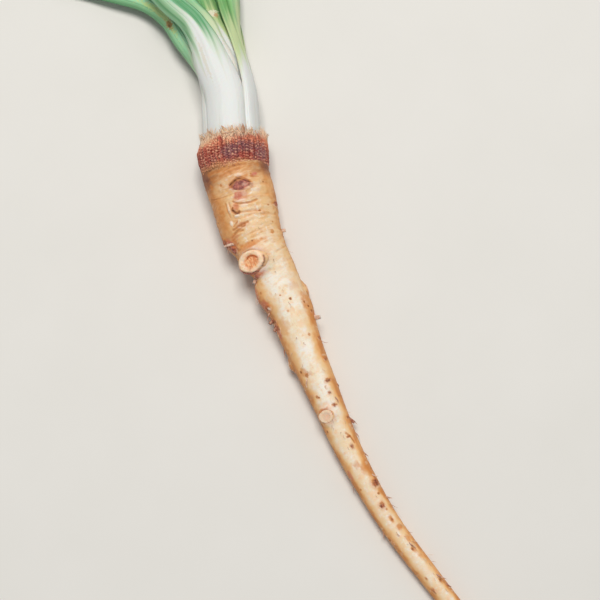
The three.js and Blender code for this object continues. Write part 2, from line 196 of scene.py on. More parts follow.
# %% A smooth line through each column of the stations
def line_through(column):
    """A smooth line through one column of the stations."""
    at, value = TAPROOT[:, 0], TAPROOT[:, column]
    run = np.diff(at)
    rise = np.diff(value) / run
    inner = (run[:-1] * rise[1:] + run[1:] * rise[:-1]) / (run[:-1] + run[1:])
    slope = np.concatenate(([rise[0]], inner, [rise[-1]]))

    def line(along):
        i = np.clip(np.searchsorted(at, along) - 1, 0, len(run) - 1)
        t = np.clip((along - at[i]) / run[i], 0, 1)
        return bend_between(value[i], value[i + 1], run[i] * slope[i], run[i] * slope[i + 1], t)

    return line


bow_at, axis_height_at, radius_at = line_through(1), line_through(2), line_through(3)
print("radius at the shoulder, middle and tip:", [round(float(radius_at(x)), 1) for x in (0, 111, 290)])


# %% The axis with its directions
def axis_at(along):
    """The axis there, the way along it, the way to the side and the way up across it."""
    step = 0.5
    on = np.stack([along, bow_at(along), axis_height_at(along)], -1)
    bow = bow_at(along + step) - bow_at(along - step)
    climb = axis_height_at(along + step) - axis_height_at(along - step)
    way = unit(np.stack([np.full_like(bow, 2 * step), bow, climb], -1))
    side = unit(np.cross([0.0, 0.0, 1.0], way))
    return on, way, side, np.cross(way, side)


def turned_from(turn, degrees):
    """How far a place is turned from another, between minus and plus half a turn."""
    return (turn - math.radians(degrees) + math.pi) % (2 * math.pi) - math.pi


# %% Low swellings and rings of wrinkles
# along, degrees round from the top, rise, half length, half arc in degrees
SWELLINGS = [
    [26, -85, -2.2, 4.5, 45],
    [36, -85, -4.0, 4.5, 45],
    [49, -80, 1.4, 6, 45],
    [61, -75, -0.8, 4, 40],
    [60, 85, 1.4, 7, 45],
]
WRINKLE_DEPTH = 0.3
WRINKLE_PITCH = 4.3


def stand_off(along, turn):
    """How far the skin stands off its round: oval flanks, slow swells, lumps and rings of wrinkles."""
    radius = radius_at(along)
    oval = 0.02 * radius * np.cos(2 * (turn - 0.7))
    swell = 0.018 * radius * np.sin(0.13 * along + 1.7 * np.sin(turn + 0.4))
    slant = 1.3 * np.sin(2 * turn + 1) + 0.8 * np.sin(3 * turn + 0.05 * along)
    fade = blend(1, 0.3, ease(along, 20, 60)) * ease(along, -12, -6) * ease(radius, 1, 5)
    wrinkle = WRINKLE_DEPTH * fade * np.sin(2 * math.pi * (along + slant) / WRINKLE_PITCH)
    lumps = sum(
        rise * np.exp(-(((along - at) / half) ** 2) - (turned_from(turn, degrees) / math.radians(arc)) ** 2)
        for at, degrees, rise, half, arc in SWELLINGS
    )
    return oval + swell + lumps, wrinkle


def skin_point(along, turn, extra):
    """The point of the skin at that place, moved out by extra, and the way out there."""
    on, _, side, up = axis_at(along)
    out = np.cos(turn)[..., None] * up + np.sin(turn)[..., None] * side
    form, wrinkle = stand_off(along, turn)
    return on + out * (radius_at(along) + form + wrinkle + extra)[..., None], out


# %% [markdown]
# ## Creases, scars and stains
# Close to the collar the skin is gathered into fine rings, like a sleeve pushed back. Further down it is
# nearly smooth, with lens-shaped scars where side roots have died. These marks could be a painted bump,
# but then the edge of the root would stay perfectly smooth. Here each mark moves the points of the mesh,
# and writes how strongly it colours them, so that form and colour always agree.

# %% The grid that carries the skin
SKIN_COLUMNS = 224
LAST_ROW = ROOT_END - 0.4
skin_rows = np.concatenate([
    np.arange(ROOT_START, 46, 0.36),
    np.arange(46, 120, 0.6),
    np.arange(120, 180, 0.9),
    np.arange(180, LAST_ROW, 1.4),
    [LAST_ROW],
])
skin_turns = np.arange(SKIN_COLUMNS) * 2 * math.pi / SKIN_COLUMNS
ALONG, TURN = np.meshgrid(skin_rows, skin_turns, indexing="ij")
RADIUS = radius_at(ALONG)
ROUND_POINTS = np.stack([ALONG, RADIUS * np.cos(TURN), RADIUS * np.sin(TURN)], -1)
MARK_NAMES = ("crease", "scar", "scab", "blush", "stain", "pale", "spot")
marks = {name: np.zeros(ALONG.shape) for name in MARK_NAMES}
relief = np.zeros(ALONG.shape)
print("skin grid:", ALONG.shape)


def near(along, degrees):
    """Distance from a place to every point of the grid: along the root, and across it."""
    return ALONG - along, turned_from(TURN, degrees) * RADIUS


def add_mark(name, amount):
    marks[name] = np.maximum(marks[name], amount)


# %% A crease along a line of places
def distance_to_line(places):
    """Millimetres from every point of the grid to a line through some places on the skin."""
    nearest = np.full(ALONG.shape, 1e3)
    for (a0, d0), (a1, d1) in zip(places, places[1:]):
        a, b = near(a0, d0)
        run_a, run_b = a1 - a0, math.radians(d1 - d0) * float(radius_at((a0 + a1) / 2))
        share = np.clip((a * run_a + b * run_b) / (run_a**2 + run_b**2), 0, 1)
        nearest = np.minimum(nearest, np.hypot(a - share * run_a, b - share * run_b))
    return nearest


# %% A groove with a lip
LIP = 0.5
LUMPY = uneven(ROUND_POINTS, 1.7, 3.1)


def press_crease(places, width, depth, tone):
    """Darkens a groove along the line, and gives its relief: sunk, with a lip raised beside it."""
    away = distance_to_line(places) * (1 + 0.25 * LUMPY)
    patchy = 0.8 + 0.5 * LUMPY
    groove = np.exp(-((away / width) ** 2))
    beside = np.exp(-(((away - 2.1 * width) / (1.1 * width)) ** 2))
    add_mark("crease", tone * np.exp(-((away / (1.25 * width)) ** 2)) * patchy)
    return depth * patchy * (LIP * beside - groove)


# %% The creases that stand out
# places (along, degrees), width, depth, tone
CREASES = [
    ([[-5.4, -17], [-6.5, -7], [-7.0, -1], [-6.8, 4], [-6.0, 8], [-4.8, 13], [-4.0, 18]], 0.38, 0.60, 1.50),
    ([[-4.9, -14], [-5.9, -8], [-6.3, 0], [-6.0, 7], [-4.9, 12]], 0.26, 0.20, 0.90),
    ([[-7.6, -2], [-7.9, 2], [-7.4, 6], [-6.2, 12]], 0.30, 0.30, 0.80),
    ([[-4.6, -15], [-2.4, -9], [-1.2, -2], [-0.8, 4], [-1.2, 10]], 0.34, 0.30, 0.70),
    ([[-4.4, 12], [-3.6, 15], [-3.0, 19], [-1.6, 20], [-1.0, 17]], 0.28, 0.25, 0.60),
    ([[3.6, -19], [4.8, -13], [5.4, -7], [5.8, 1], [5.8, 12], [5.2, 23]], 0.38, 0.35, 0.62),
    # The next crease is a pit: its darkest tone is painted shade inside it, over its sunk relief.
    ([[7.6, -24], [8.8, -21], [9.5, -17], [9.1, -13]], 0.54, 0.75, 1.35),
    ([[3.5, -34], [6.5, -34], [10.0, -32]], 0.40, 0.20, 0.36),
    ([[3.5, -27], [6.8, -26], [10.0, -25]], 0.36, 0.20, 0.36),
    ([[7.6, -7], [7.6, 5], [8.0, 17], [7.2, 30]], 0.60, 0.16, 0.12),
    ([[9.3, -10], [9.8, 3], [10.2, 16], [10.6, 25]], 0.50, 0.22, 0.30),
    ([[11.4, -6], [11.8, 8], [12.8, 25], [12.4, 38]], 0.75, 0.18, 0.10),
    ([[0.6, 12], [1.4, 24], [1.2, 38]], 0.80, 0.18, 0.12),
    ([[2.2, 30], [3.0, 42], [2.8, 55]], 0.80, 0.18, 0.12),
    ([[14.3, -31], [13.6, -26], [12.9, -21]], 0.34, 0.25, 0.60),
    ([[15.6, -36], [15.0, -19], [14.4, -3]], 0.36, 0.28, 0.70),
    ([[17.2, -37], [16.2, -22], [15.5, -10]], 0.36, 0.25, 0.60),
    ([[18.2, -47], [17.0, -28], [17.2, -17]], 0.40, 0.24, 0.42),
    ([[19.4, -49], [18.8, -36], [18.6, -24]], 0.45, 0.22, 0.34),
    ([[22.8, -39], [23.6, -24], [25.0, -8]], 0.90, 0.26, 0.26),
    ([[23.2, -57], [24.3, -42]], 0.60, 0.25, 0.30),
    ([[-9.6, -52], [-9.4, -34], [-10.0, -12], [-10.6, 8]], 0.45, 0.25, 0.42),
    ([[-11.0, -56], [-11.2, -36], [-11.1, -16], [-11.7, 2], [-11.8, 20]], 0.40, 0.20, 0.55),
    ([[-8.4, -50], [-8.6, -32], [-9.0, -18]], 0.40, 0.20, 0.30),
    ([[-6.6, 22], [-6.1, 29], [-5.7, 35]], 0.36, 0.22, 0.50),
    ([[107.2, 8], [107.6, 18], [107.9, 26]], 0.30, 0.22, 0.80),
    ([[121.5, 14], [122.4, 20], [124.2, 29], [127.0, 35]], 0.36, 0.30, 0.65),
]
for places, width, depth, tone in CREASES:
    relief = relief + press_crease(places, width, depth, tone)
print("placed creases:", len(CREASES))

# %% The fine creases that circle the root, crowded near the collar
draw = np.random.default_rng(1847)
SHOULDER_CREASES = 95
BODY_CREASES = 45
for count, low, high, strength in ((SHOULDER_CREASES, -12.5, 40, 1.0), (BODY_CREASES, 40, 290, 0.35)):
    for _ in range(count):
        middle = low + (high - low) * draw.random() ** 1.25
        degrees = draw.uniform(-180, 180)
        half = math.degrees(draw.uniform(2.2, 8.5) / float(radius_at(middle)))
        half = min(half, 70)
        slant, bend = draw.uniform(-0.9, 0.9), draw.uniform(-0.8, 0.8)
        share = np.linspace(-1, 1, 5)
        places = [[middle + slant * s + bend * s * s, degrees + half * s] for s in share]
        depth = strength * draw.uniform(0.05, 0.20)
        width = draw.uniform(0.35, 0.75)
        relief = relief + press_crease(places, width, depth, strength * draw.uniform(0.02, 0.20))
print("fine creases:", SHOULDER_CREASES + BODY_CREASES)

# %% Scars of dead side roots: along, turn, half across, half along, height, darkness
SCARS = [
    [-3.8, 1, 4.8, 2.9, 0.6, 1.0],
    [-2.7, 17, 1.3, 1.5, 0.7, 0.5],
    [15.0, -14, 2.2, 1.2, 0.3, 0.25],
    [18.5, -78, 2.8, 2.2, 1.0, 0.7],
    [22.8, -66, 3.0, 2.2, 0.9, 0.65],
    [38.2, -46, 3.6, 1.2, 0.5, 0.5],
    [54.3, -60, 2.0, 1.6, 0.9, 0.8],
    [61.0, -66, 1.3, 1.0, 0.6, 0.7],
    [64.8, -60, 1.3, 1.8, 0.6, 0.7],
    [8, 70, 3.2, 1.5, 0.7, 0.8],
    [26, 105, 3.4, 1.7, 0.8, 0.8],
    [5, -130, 3.6, 1.8, 0.8, 0.9],
    [63.0, 61, 1.0, 0.9, 0.3, 0.6],
    [76, 63, 1.6, 1.0, 0.5, 0.7],
    [86.0, 54, 1.4, 1.2, 0.5, 0.7],
    [96.0, 29, 1.5, 0.9, 0.35, 0.9],
    [101.6, 17, 0.8, 0.8, 0.25, 0.9],
    [107.8, 15, 0.9, 0.8, 0.3, 0.95],
    [70, -125, 2.4, 1.2, 0.6, 0.8],
    [100, 78, 1.8, 1.0, 0.5, 0.7],
    [128.4, 17, 0.9, 1.1, 0.3, 0.9],
    [148.6, 41, 2.2, 2.1, 0.6, 1.0],
    [159.0, 10, 1.3, 1.6, 0.4, 1.0],
    [36.4, -64, 2.8, 1.3, 0.5, 0.5],
    [115.4, 58, 1.6, 0.7, 0.3, 0.8],
    [131, -150, 1.8, 1.0, 0.5, 0.9],
    [174, -70, 1.2, 1.0, 0.4, 0.8],
    [168, 120, 1.4, 1.0, 0.4, 0.9],
    [203, -35, 1.0, 1.1, 0.3, 0.8],
    [221, 60, 1.1, 0.8, 0.3, 0.8],
    [246, -20, 0.9, 0.8, 0.3, 0.8],
]

# %% Each scar: a torn dome in a rim, with a crease along its lower edge and a stain round it
BROAD_SCAR = 2.7
DOME_SHARE = 0.62
TORN = uneven(ROUND_POINTS, 0.75, 9.4)
for along, degrees, across, length, height, dark in SCARS:
    a, b = near(along, degrees)
    wobble = 1 + 0.22 * LUMPY
    reach = np.hypot(a / length, b / across) / wobble
    dome = np.sqrt(np.clip(1 - reach**2, 0, 1))
    inside = ease(reach, 0.95, 0.7)
    rim = np.exp(-(((reach - 1.02) / 0.16) ** 2))
    relief = relief + height * DOME_SHARE * dome + 0.3 * min(length, 1.6) * inside * TORN
    relief = relief + 0.22 * min(height, 0.6) * rim
    add_mark("scar" if across > BROAD_SCAR else "scab", dark * inside * np.clip(0.95 + 0.4 * TORN, 0.72, 1))
    add_mark("crease", 0.6 * dark * np.exp(-(((reach - 0.92) / 0.10) ** 2)) * (a < 0.2 * length))
    add_mark("pale", 0.35 * rim * (a > 0))
    add_mark("stain", 0.5 * dark * ease(reach, 2.0, 1.0))
print("scars:", len(SCARS))

# %% Soft marks: along, turn, half across, half along, strength
SOFT_MARKS = {
    "blush": [
        [1.8, -3, 3.7, 2.9, 0.55], [1.4, -7, 2.7, 2.4, 0.85], [6.4, -16, 1.7, 2.3, 0.45],
        [-4.4, -14, 1.2, 1.4, 0.8], [14.9, -13, 3.0, 1.4, 0.45], [21, -62, 4.0, 3.5, 0.8],
        [37.8, -38, 4.4, 1.4, 0.8], [53, -66, 3.0, 3.5, 0.6], [66, -68, 1.8, 5.0, 0.7],
        [46, -84, 3, 6, 0.5], [140, -58, 1.8, 2.5, 0.6], [-7.2, 29, 2.0, 1.0, 0.8],
        [18.6, -40, 3.5, 1.2, 0.35], [65.5, 80, 1.6, 1.8, 0.8], [107.9, -31, 2.2, 0.8, 0.40],
    ],
    "stain": [
        [-2.8, 15, 0.9, 1.6, 0.6], [24.4, -20, 7.0, 1.5, 0.8], [22.5, 39, 1.0, 1.2, 0.85],
        [-7.0, -58, 1.2, 1.2, 0.9], [-2.5, -54, 0.9, 0.9, 0.6], [58.5, 56, 3.5, 5.5, 0.75],
        [65, -40, 3.5, 4.0, 0.4], [88.5, -38, 2.2, 2.4, 0.55], [90, -20, 1.5, 1.2, 0.45],
        [66, 62, 3.5, 4.5, 0.8], [76, 60, 3, 7, 0.45], [140.5, 35, 2.2, 3.0, 0.7],
        [137, 0, 1.6, 2.0, 0.6], [139.5, 27, 2.4, 2.2, 0.7],
        [143, 40, 1.5, 2.0, 0.6], [171.5, 29, 1.6, 1.7, 0.9], [166.2, 14, 1.0, 2.0, 0.8],
        [152.5, 48, 1.8, 3.2, 0.6], [108, -24, 4.2, 4.2, 0.25], [183, 23, 1.2, 2.6, 0.7],
        [177.8, 28, 1.0, 2.0, 0.7], [187, 30, 1.0, 1.6, 0.6], [107.9, -30, 2.6, 1.1, 0.9],
        [115.5, 66, 2.0, 2.2, 0.7], [12.5, 34, 2.2, 1.4, 0.4], [49.5, 32, 3, 2.2, 0.3],
        [6.6, -16, 1.5, 2.2, 0.7], [-1.0, -62, 4.0, 6.0, 0.35], [10, -58, 3.6, 8.0, 0.25],
        [-1, -46, 6.0, 6.0, 0.34], [12, -48, 6.0, 9.0, 0.30], [-4, 44, 3.5, 5.0, 0.22],
    ],
    "pale": [
        [-3.8, 8, 1.5, 0.9, 0.22], [1.0, 3, 1.4, 1.6, 0.26], [12.8, -34, 1.0, 1.1, 1.0],
        # On the next line, the marks at 3.9 and 10.5 along are painted highlights: on the lit side of a ridge
        # above a crack and on the lit lip of a pit, over their raised relief.
        [3.9, -5, 2.8, 0.5, 0.6], [10.5, -18, 1.3, 0.7, 0.9], [6.8, -2, 1.7, 1.0, 0.55],
        [99.0, 18, 1.3, 0.9, 0.9], [54.8, -55, 0.7, 0.8, 0.9],
        [110.6, -9, 2.2, 1.8, 0.8], [-8.4, 2, 2.4, 0.7, 0.5], [-2.3, 27, 2.4, 1.5, 0.3],
        [65.4, 80, 0.7, 0.8, 0.9], [6.5, -30, 0.7, 2.6, 0.5], [0.4, 24, 2.6, 1.2, 0.45],
    ],
    "spot": [
        [10.5, 24, 0.7, 0.5, 0.7], [8.5, 44, 0.8, 0.5, 0.5], [6.5, -22, 0.5, 0.6, 0.8],
        [60.6, 53, 0.7, 0.8, 0.75], [56.0, 80, 0.7, 2.2, 0.7], [98.8, 13, 0.7, 0.8, 0.8],
        [123.5, 22, 1.1, 0.7, 0.8], [166.6, 15, 0.6, 0.9, 0.7], [90.2, -33, 1.0, 1.1, 0.5],
    ],
}

# %% Blushes, stains, low pale knobs and spots in their places, and specks anywhere; two of the pale knobs carry painted highlights
SPECKS = 120
KNOB_HEIGHT = 0.35
for mark, places in SOFT_MARKS.items():
    for along, degrees, across, length, strength in places:
        a, b = near(along, degrees)
        reach = np.hypot(a / length, b / across) / (1 + 0.40 * LUMPY + 0.16 * TORN)
        add_mark(mark, strength * ease(reach, 1.25, 0.6))
        if mark == "pale":
            relief = relief + KNOB_HEIGHT * strength * ease(reach, 1.2, 0.1)
for _ in range(SPECKS):
    a, b = near(draw.uniform(-8, 285), draw.uniform(-180, 180))
    size, strength = draw.uniform(0.35, 0.75), draw.uniform(0.3, 0.9)
    add_mark("spot", strength * ease(np.hypot(a, b), 1.5 * size, 0.5 * size))
print("soft marks:", {mark: len(places) for mark, places in SOFT_MARKS.items()}, "specks:", SPECKS)

# %% [markdown]
# ## Joining the skin
# The last layers are the ones without a place of their own: broad lumps, a fine grain, and short creases
# that run round the root because the skin shrinks lengthwise as it dries. There are far too many of them
# to draw one by one, and unevenness stretched round the root looks just like them. The flank value says
# how far a place is turned from the top: the flanks and the underside keep more of the tan cork than the
# washed top, and the same value paints shade that darkens the skin as it turns away from the top.

# %% Broad lumps, short creases and grain
in_place = 1 - 0.75 * ease(ALONG, 18, 60)
girth = np.clip(RADIUS / 15, 0.15, 1)
lumps = 0.30 * uneven(ROUND_POINTS, 13, 1.3) + 0.14 * uneven(ROUND_POINTS, 5, 5.2)
short = uneven(ROUND_POINTS * np.array([1.0, 0.17, 0.17]), 1.35, 7.7)
shorter = uneven(ROUND_POINTS * np.array([1.0, 0.25, 0.25]), 0.8, 2.4)
folds = -np.clip(1 - np.abs(short) * 4.5, 0, 1) * 0.09 - np.clip(1 - np.abs(shorter) * 4, 0, 1) * 0.04
calm = ease(ALONG, ROOT_START + 0.6, -9)
relief = relief + girth * lumps + in_place * folds * calm + 0.05 * girth * TORN
add_mark("crease", in_place * 0.24 * np.clip(1 - np.abs(short) * 6, 0, 1) * (0.5 + LUMPY))
print("deepest and highest relief:", round(float(relief.min()), 2), round(float(relief.max()), 2))

# %% Where the flanks, the neck and the golden shoulder take their colour, and the flanks their painted shade
# places along the root, and how many degrees from the top a flank is tan and painted with shade there
LEFT_FLANK = [-13, 14, 27, 42, 70, 85, 120, 150, 180], [50, 36, 40, 42, 46, 43, 50, 42, 37]
RIGHT_FLANK = [-13, 2, 27, 55, 70, 85, 100, 120, 140, 165, 180], [44, 46, 54, 66, 37, 34, 33, 32, 27, 44, 32]
from_top = np.degrees(turned_from(TURN, 0))
left_edge, right_edge = (np.interp(ALONG, *edge) for edge in (LEFT_FLANK, RIGHT_FLANK))
round_share = np.where(from_top < 0, -from_top / left_edge, from_top / right_edge)
drift = 0.26 * uneven(ROUND_POINTS, 9, 4.4) + 0.20 * uneven(ROUND_POINTS, 4, 8.1) + 0.16 * LUMPY
# The flank mark is partly tan cork and partly painted shade, darker the further the skin turns from the top.
marks["flank_tan_and_shade"] = ease(round_share + drift, 0.15, 1.65)
marks["gathered"] = blend(1, 0.25, ease(ALONG, 24, 56))
marks["neck"] = ease(ALONG + 1.8 * uneven(ROUND_POINTS, 8, 6.6), -4.0, -11.5)
golden = ease(ALONG + 5 * uneven(ROUND_POINTS, 9, 2.9) + 0.12 * from_top, 38, 18)
marks["golden"] = np.maximum(golden, 0.5 * ease(ALONG, 90, 170))
print("share of the skin that is flank:", round(float(marks["flank_tan_and_shade"].mean()), 2))

# %% Cut ends of side roots: along, turn, half width across, share of it along, height, depth of the core
STUBS = [
    [31.2, -30, 6.3, 0.76, 2.0, 1.0],
    [111.0, -29, 3.3, 0.88, 1.0, 0.2],
    [52, 108, 3.2, 0.90, 1.4, 0.8],
    [83, -112, 2.4, 1.00, 1.2, 0.6],
]
for along, degrees, radius, oval, height, _ in STUBS:
    a, b = near(along, degrees)
    reach = np.hypot(a / oval, b) / radius
    relief = relief * ease(reach, 0.9, 1.35)
    relief = relief + height * (0.74 * ease(reach, 2.0, 1.12) - 1.3 * ease(reach, 1.04, 0.88))
    add_mark("blush", 0.35 * ease(reach, 1.6, 1.05))
    for name in ("scar", "scab", "crease"):
        marks[name] = marks[name] * ease(reach, 0.95, 1.15)
print("sockets for cut ends:", len(STUBS))

# %% The neck, which the collar and the leaves go round
NECK = TAPROOT[1, :3]
NECK_WAY = unit(np.array([-0.936, 0.352, 0.0]))
NECK_RIGHT = np.cross(NECK_WAY, [0.0, 0.0, 1.0])
CROWN_RADIUS = 13.9
CROWN_HEIGHT = 8.5


def neck_point(along, radius, turn):
    """A point of the neck: so far along it, so far out from it, so many radians from the top."""
    along, radius, turn = np.broadcast_arrays(np.asarray(along, float), radius, turn)
    out = np.sin(turn)[..., None] * NECK_RIGHT + np.cos(turn)[..., None] * np.array([0.0, 0.0, 1.0])
    return NECK + along[..., None] * NECK_WAY + radius[..., None] * out


# %% The skin, from the crown inside the collar to the closed tip
on, _, side, up = axis_at(ALONG)
out = np.cos(TURN)[..., None] * up + np.sin(TURN)[..., None] * side
form, wrinkle = stand_off(ALONG, TURN)
steady = ease(RADIUS, 0.5, 3)
ragged = wrinkle * (0.08 + 0.5 * np.abs(uneven(ROUND_POINTS, 9, 8.8)))
body = on + out * (RADIUS + form + ragged + steady * relief)[..., None]
crown = [neck_point(CROWN_HEIGHT, CROWN_RADIUS, skin_turns), neck_point(0.0, CROWN_RADIUS, skin_turns)]
tip_on, _, _, _ = axis_at(np.array([ROOT_END - 0.15, ROOT_END]))
tip = [tip_on[0] + out[-1] * 0.55, tip_on[1] + out[-1] * 0.12]
rings = np.concatenate([crown, body, tip])
skin_faces = grid_faces(len(rings), SKIN_COLUMNS, True)
skin_faces.append(list(range(SKIN_COLUMNS)))
skin_faces.append([len(rings) * SKIN_COLUMNS - 1 - j for j in range(SKIN_COLUMNS)])
ends = (len(crown), len(tip)), (0, 0)
padded_marks = {name: np.pad(value, ends, "edge") for name, value in marks.items()}
root_skin = add_piece("root_skin", rings.reshape(-1, 3), skin_faces, "skin", padded_marks)
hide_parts("taproot")

# %% [markdown]
# ## Cut ends of side roots
# Where a stout side root is cut off, its skin rolls in over the cut and dries into a pale rim, and the
# woody core sinks and goes orange-brown. A disc pressed into the skin would do from far away. A lathe
# profile, swept round and made uneven, also shows the rolled rim and the hollow from the side.

# %% The profile of a cut end, from its foot to its middle: share of the radius out, share of the height up
PROFILE = np.array([
    [1.30, -0.40], [1.24, -0.02], [1.17, 0.22], [1.11, 0.46], [1.06, 0.68], [1.02, 0.84], [0.97, 0.95],
    [0.91, 0.99], [0.84, 0.98], [0.77, 0.96], [0.71, 0.94], [0.66, 0.92], [0.62, 0.89], [0.59, 0.85],
    [0.55, 0.82], [0.48, 0.82], [0.40, 0.83], [0.30, 0.82], [0.20, 0.80], [0.12, 0.81], [0.05, 0.80],
])
PROFILE_STEPS = 64
STUB_COLUMNS = 96


def place_on_skin(along, degrees, local, sink=0.0, lean=0.0, swing=0.0):
    """Stands points on the skin, their own +Z out, leaning towards the tip or, with swing, beside it."""
    at, turn = np.array([float(along)]), np.array([math.radians(degrees)])
    foot, out = skin_point(at, turn, -sink)
    _, way, _, _ = axis_at(at)
    foot, out, way = foot[0], out[0], way[0]
    way = way * math.cos(swing) + np.cross(out, way) * math.sin(swing)
    across = unit(np.cross(out, way))
    tilted = out * math.cos(lean) + np.cross(across, out) * math.sin(lean)
    level = np.cross(across, tilted)
    return foot + local[..., :1] * level + local[..., 1:2] * across + local[..., 2:] * tilted


# %% A rolled rim round a sunken core
def cut_end(along, degrees, radius, oval, height, hollow, seed):
    """Points of one cut end, and what its finish needs to know of each."""
    share = np.linspace(0, len(PROFILE) - 1, PROFILE_STEPS)
    steps = np.arange(len(PROFILE))
    out = np.interp(share, steps, PROFILE[:, 0])[:, None]
    level = np.interp(share, steps, PROFILE[:, 1])[:, None]
    turn = (np.arange(STUB_COLUMNS) * 2 * math.pi / STUB_COLUMNS)[None, :]
    flat = np.stack(np.broadcast_arrays(out * np.cos(turn), out * np.sin(turn), seed), -1)
    wide, fine = uneven(flat, 1.1), uneven(flat, 0.22)
    level = blend(0.97 * np.minimum(level + 0.08, 1), level, hollow)
    spokes = uneven(flat / np.maximum(out, 0.3)[..., None], 0.17)
    streaks = uneven(flat * np.array([0.3, 1.0, 1.0]), 0.13)
    towards = 0.10 * np.cos(turn) * (0.6 + spokes) + 0.09 * np.sin(turn)
    core = ease(out + 0.20 * wide + 0.10 * fine - towards, 0.80, 0.46)
    arc_at = 0.52 + 0.07 * wide
    arc = np.exp(-(((out + 0.07 * fine - 0.5 * towards - arc_at) / 0.12) ** 2))
    arc = arc * ease(-np.cos(turn + 0.55) + 0.5 * fine, -0.1, 0.8)
    crack = np.exp(-(((turn - 2 * math.pi + 0.45 - 0.1 * wide) / 0.07) ** 2))
    crack = crack * ease(out, 0.40, 0.55) * ease(out, 1.0, 0.8)
    torn = ease(np.cos(turn + 0.5) + 0.4 * wide + 0.3 * fine, 0.3, 0.8)
    edge = ease(0.4 * np.sin(turn) + 1.4 * wide + fine, -0.2, 0.5)
    spread = radius * out * (1 + 0.09 * wide + 0.045 * fine)
    rise = height * level * (1 + 0.16 * wide * ease(out, 1.2, 1.0))
    dents = 0.032 * spokes * ease(out, 0.45, 0.75) + 0.014 * fine + hollow * core * 0.05 * streaks
    rise = rise + radius * dents * ease(out, 1.25, 1.05)
    local = np.stack([oval * spread * np.cos(turn), spread * np.sin(turn), rise], -1)
    cut_marks = {
        "rim": np.exp(-(((out - 0.9) / 0.13) ** 2)) * (0.75 + 0.5 * fine),
        "core": core * blend(0.35, 1, hollow),
        "foot": np.broadcast_to(ease(out, 1.0, 1.2), core.shape),
        "grain": streaks + 0.6 * spokes,
        "arc": np.maximum(arc, 0.6 * crack) * hollow,
        "fresh": np.full(core.shape, 1 - hollow),
        "torn": ease(out, 0.98, 1.12) * torn * hollow,
        "edge": np.exp(-(((out - 1.10) / 0.05) ** 2)) * edge,
    }
    return place_on_skin(along, degrees, local), cut_marks


# %% The cut ends in their sockets
cut_ends = []
for number, stub_shape in enumerate(STUBS, 1):
    points, cut_marks = cut_end(*stub_shape, 3.7 * number)
    faces = round_faces(PROFILE_STEPS, STUB_COLUMNS)
    stub = add_piece(f"cut_end_{number}", points.reshape(-1, 3), faces, "skin", cut_marks)
    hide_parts("taproot")
    cut_ends.append(stub)

# %% [markdown]
# ## Stumps, rootlets and hairs
# Thin side roots snap when the root is pulled up. A few stout stumps are left, some threads as long as a
# fingernail, and short hairs. Each is a thin tube that starts just under the skin, bends and tapers.
# Hair curves would be quicker to comb, but they don't survive an export, so these are real tubes.

# %% Seeded places for the rootlets, kept clear of the surface that the root lies on
ROOTLET_SEED = 1847
ROOTLET_COUNT = 20
ROOTLET_FROM = 48
ROOTLET_TO = 286
ROOTLET_LENGTH = [3, 6.5]
ROOTLET_LEAN = [40, 68]
ROOTLET_BASE = 0.6
ROOTLET_END = 0.35
ROOTLET_SIDES = 5
ROOTLET_FOOT = 0.75
SINK = 0.8
CLEARANCE = 0.5


def seeded(state):
    """A stream of evenly spread numbers between 0 and 1, the same wherever it runs."""
    factor, shift, size = 1664525, 1013904223, 2**32
    while True:
        state = (state * factor + shift) % size
        yield state / size


def rootlet_places():
    """Along, degrees, length and lean of each rootlet, where the solids have them."""
    stream = seeded(ROOTLET_SEED)
    corner = np.arange(ROOTLET_SIDES) * 2 * math.pi / ROOTLET_SIDES
    found = []
    while len(found) < ROOTLET_COUNT:
        share = (len(found) + 0.7 * next(stream)) / ROOTLET_COUNT
        along = blend(ROOTLET_FROM, ROOTLET_TO, share)
        degrees = 360 * next(stream)
        length = blend(*ROOTLET_LENGTH, next(stream))
        lean = math.radians(blend(*ROOTLET_LEAN, next(stream)))
        tip_and_foot = (ROOTLET_END, length + ROOTLET_FOOT), (ROOTLET_BASE, -ROOTLET_FOOT)
        corners = [[r * math.sin(c), -r * math.cos(c), h] for r, h in tip_and_foot for c in corner]
        if place_on_skin(along, degrees, np.array(corners), SINK, lean)[:, 2].min() > CLEARANCE:
            found.append([along, degrees, length, lean])
    return found


rootlets = rootlet_places()
print("rootlets:", len(rootlets), "longest", round(max(r[2] for r in rootlets), 1), "mm")


# %% Bending threads out of places on the skin
THREAD_SIDES = 6
THREAD_CLEARANCE = 0.25
thread_share = np.linspace(0, 1, 14)


def thread_path(along, degrees, length, lean, wave, sink):
    """A path that leaves the skin there, leans towards the tip and wanders as it goes."""
    share = thread_share
    reach = share * (length + sink)
    phase = draw.uniform(0, 2 * math.pi, 2)
    sway = wave * length * share**1.4
    local = np.stack([
        sway * np.sin(3.1 * share + phase[0]) + 0.10 * length * share**2,
        sway * np.sin(4.3 * share + phase[1]),
        reach * (1 - 0.12 * share),
    ], -1)
    path = place_on_skin(along, degrees, local, sink, lean)
    path[:, 2] = np.maximum(path[:, 2], THREAD_CLEARANCE)
    return path


# %% Rootlets, short hairs and tufts of hairs
HAIRS = 150
HAIR_SINK = 0.3
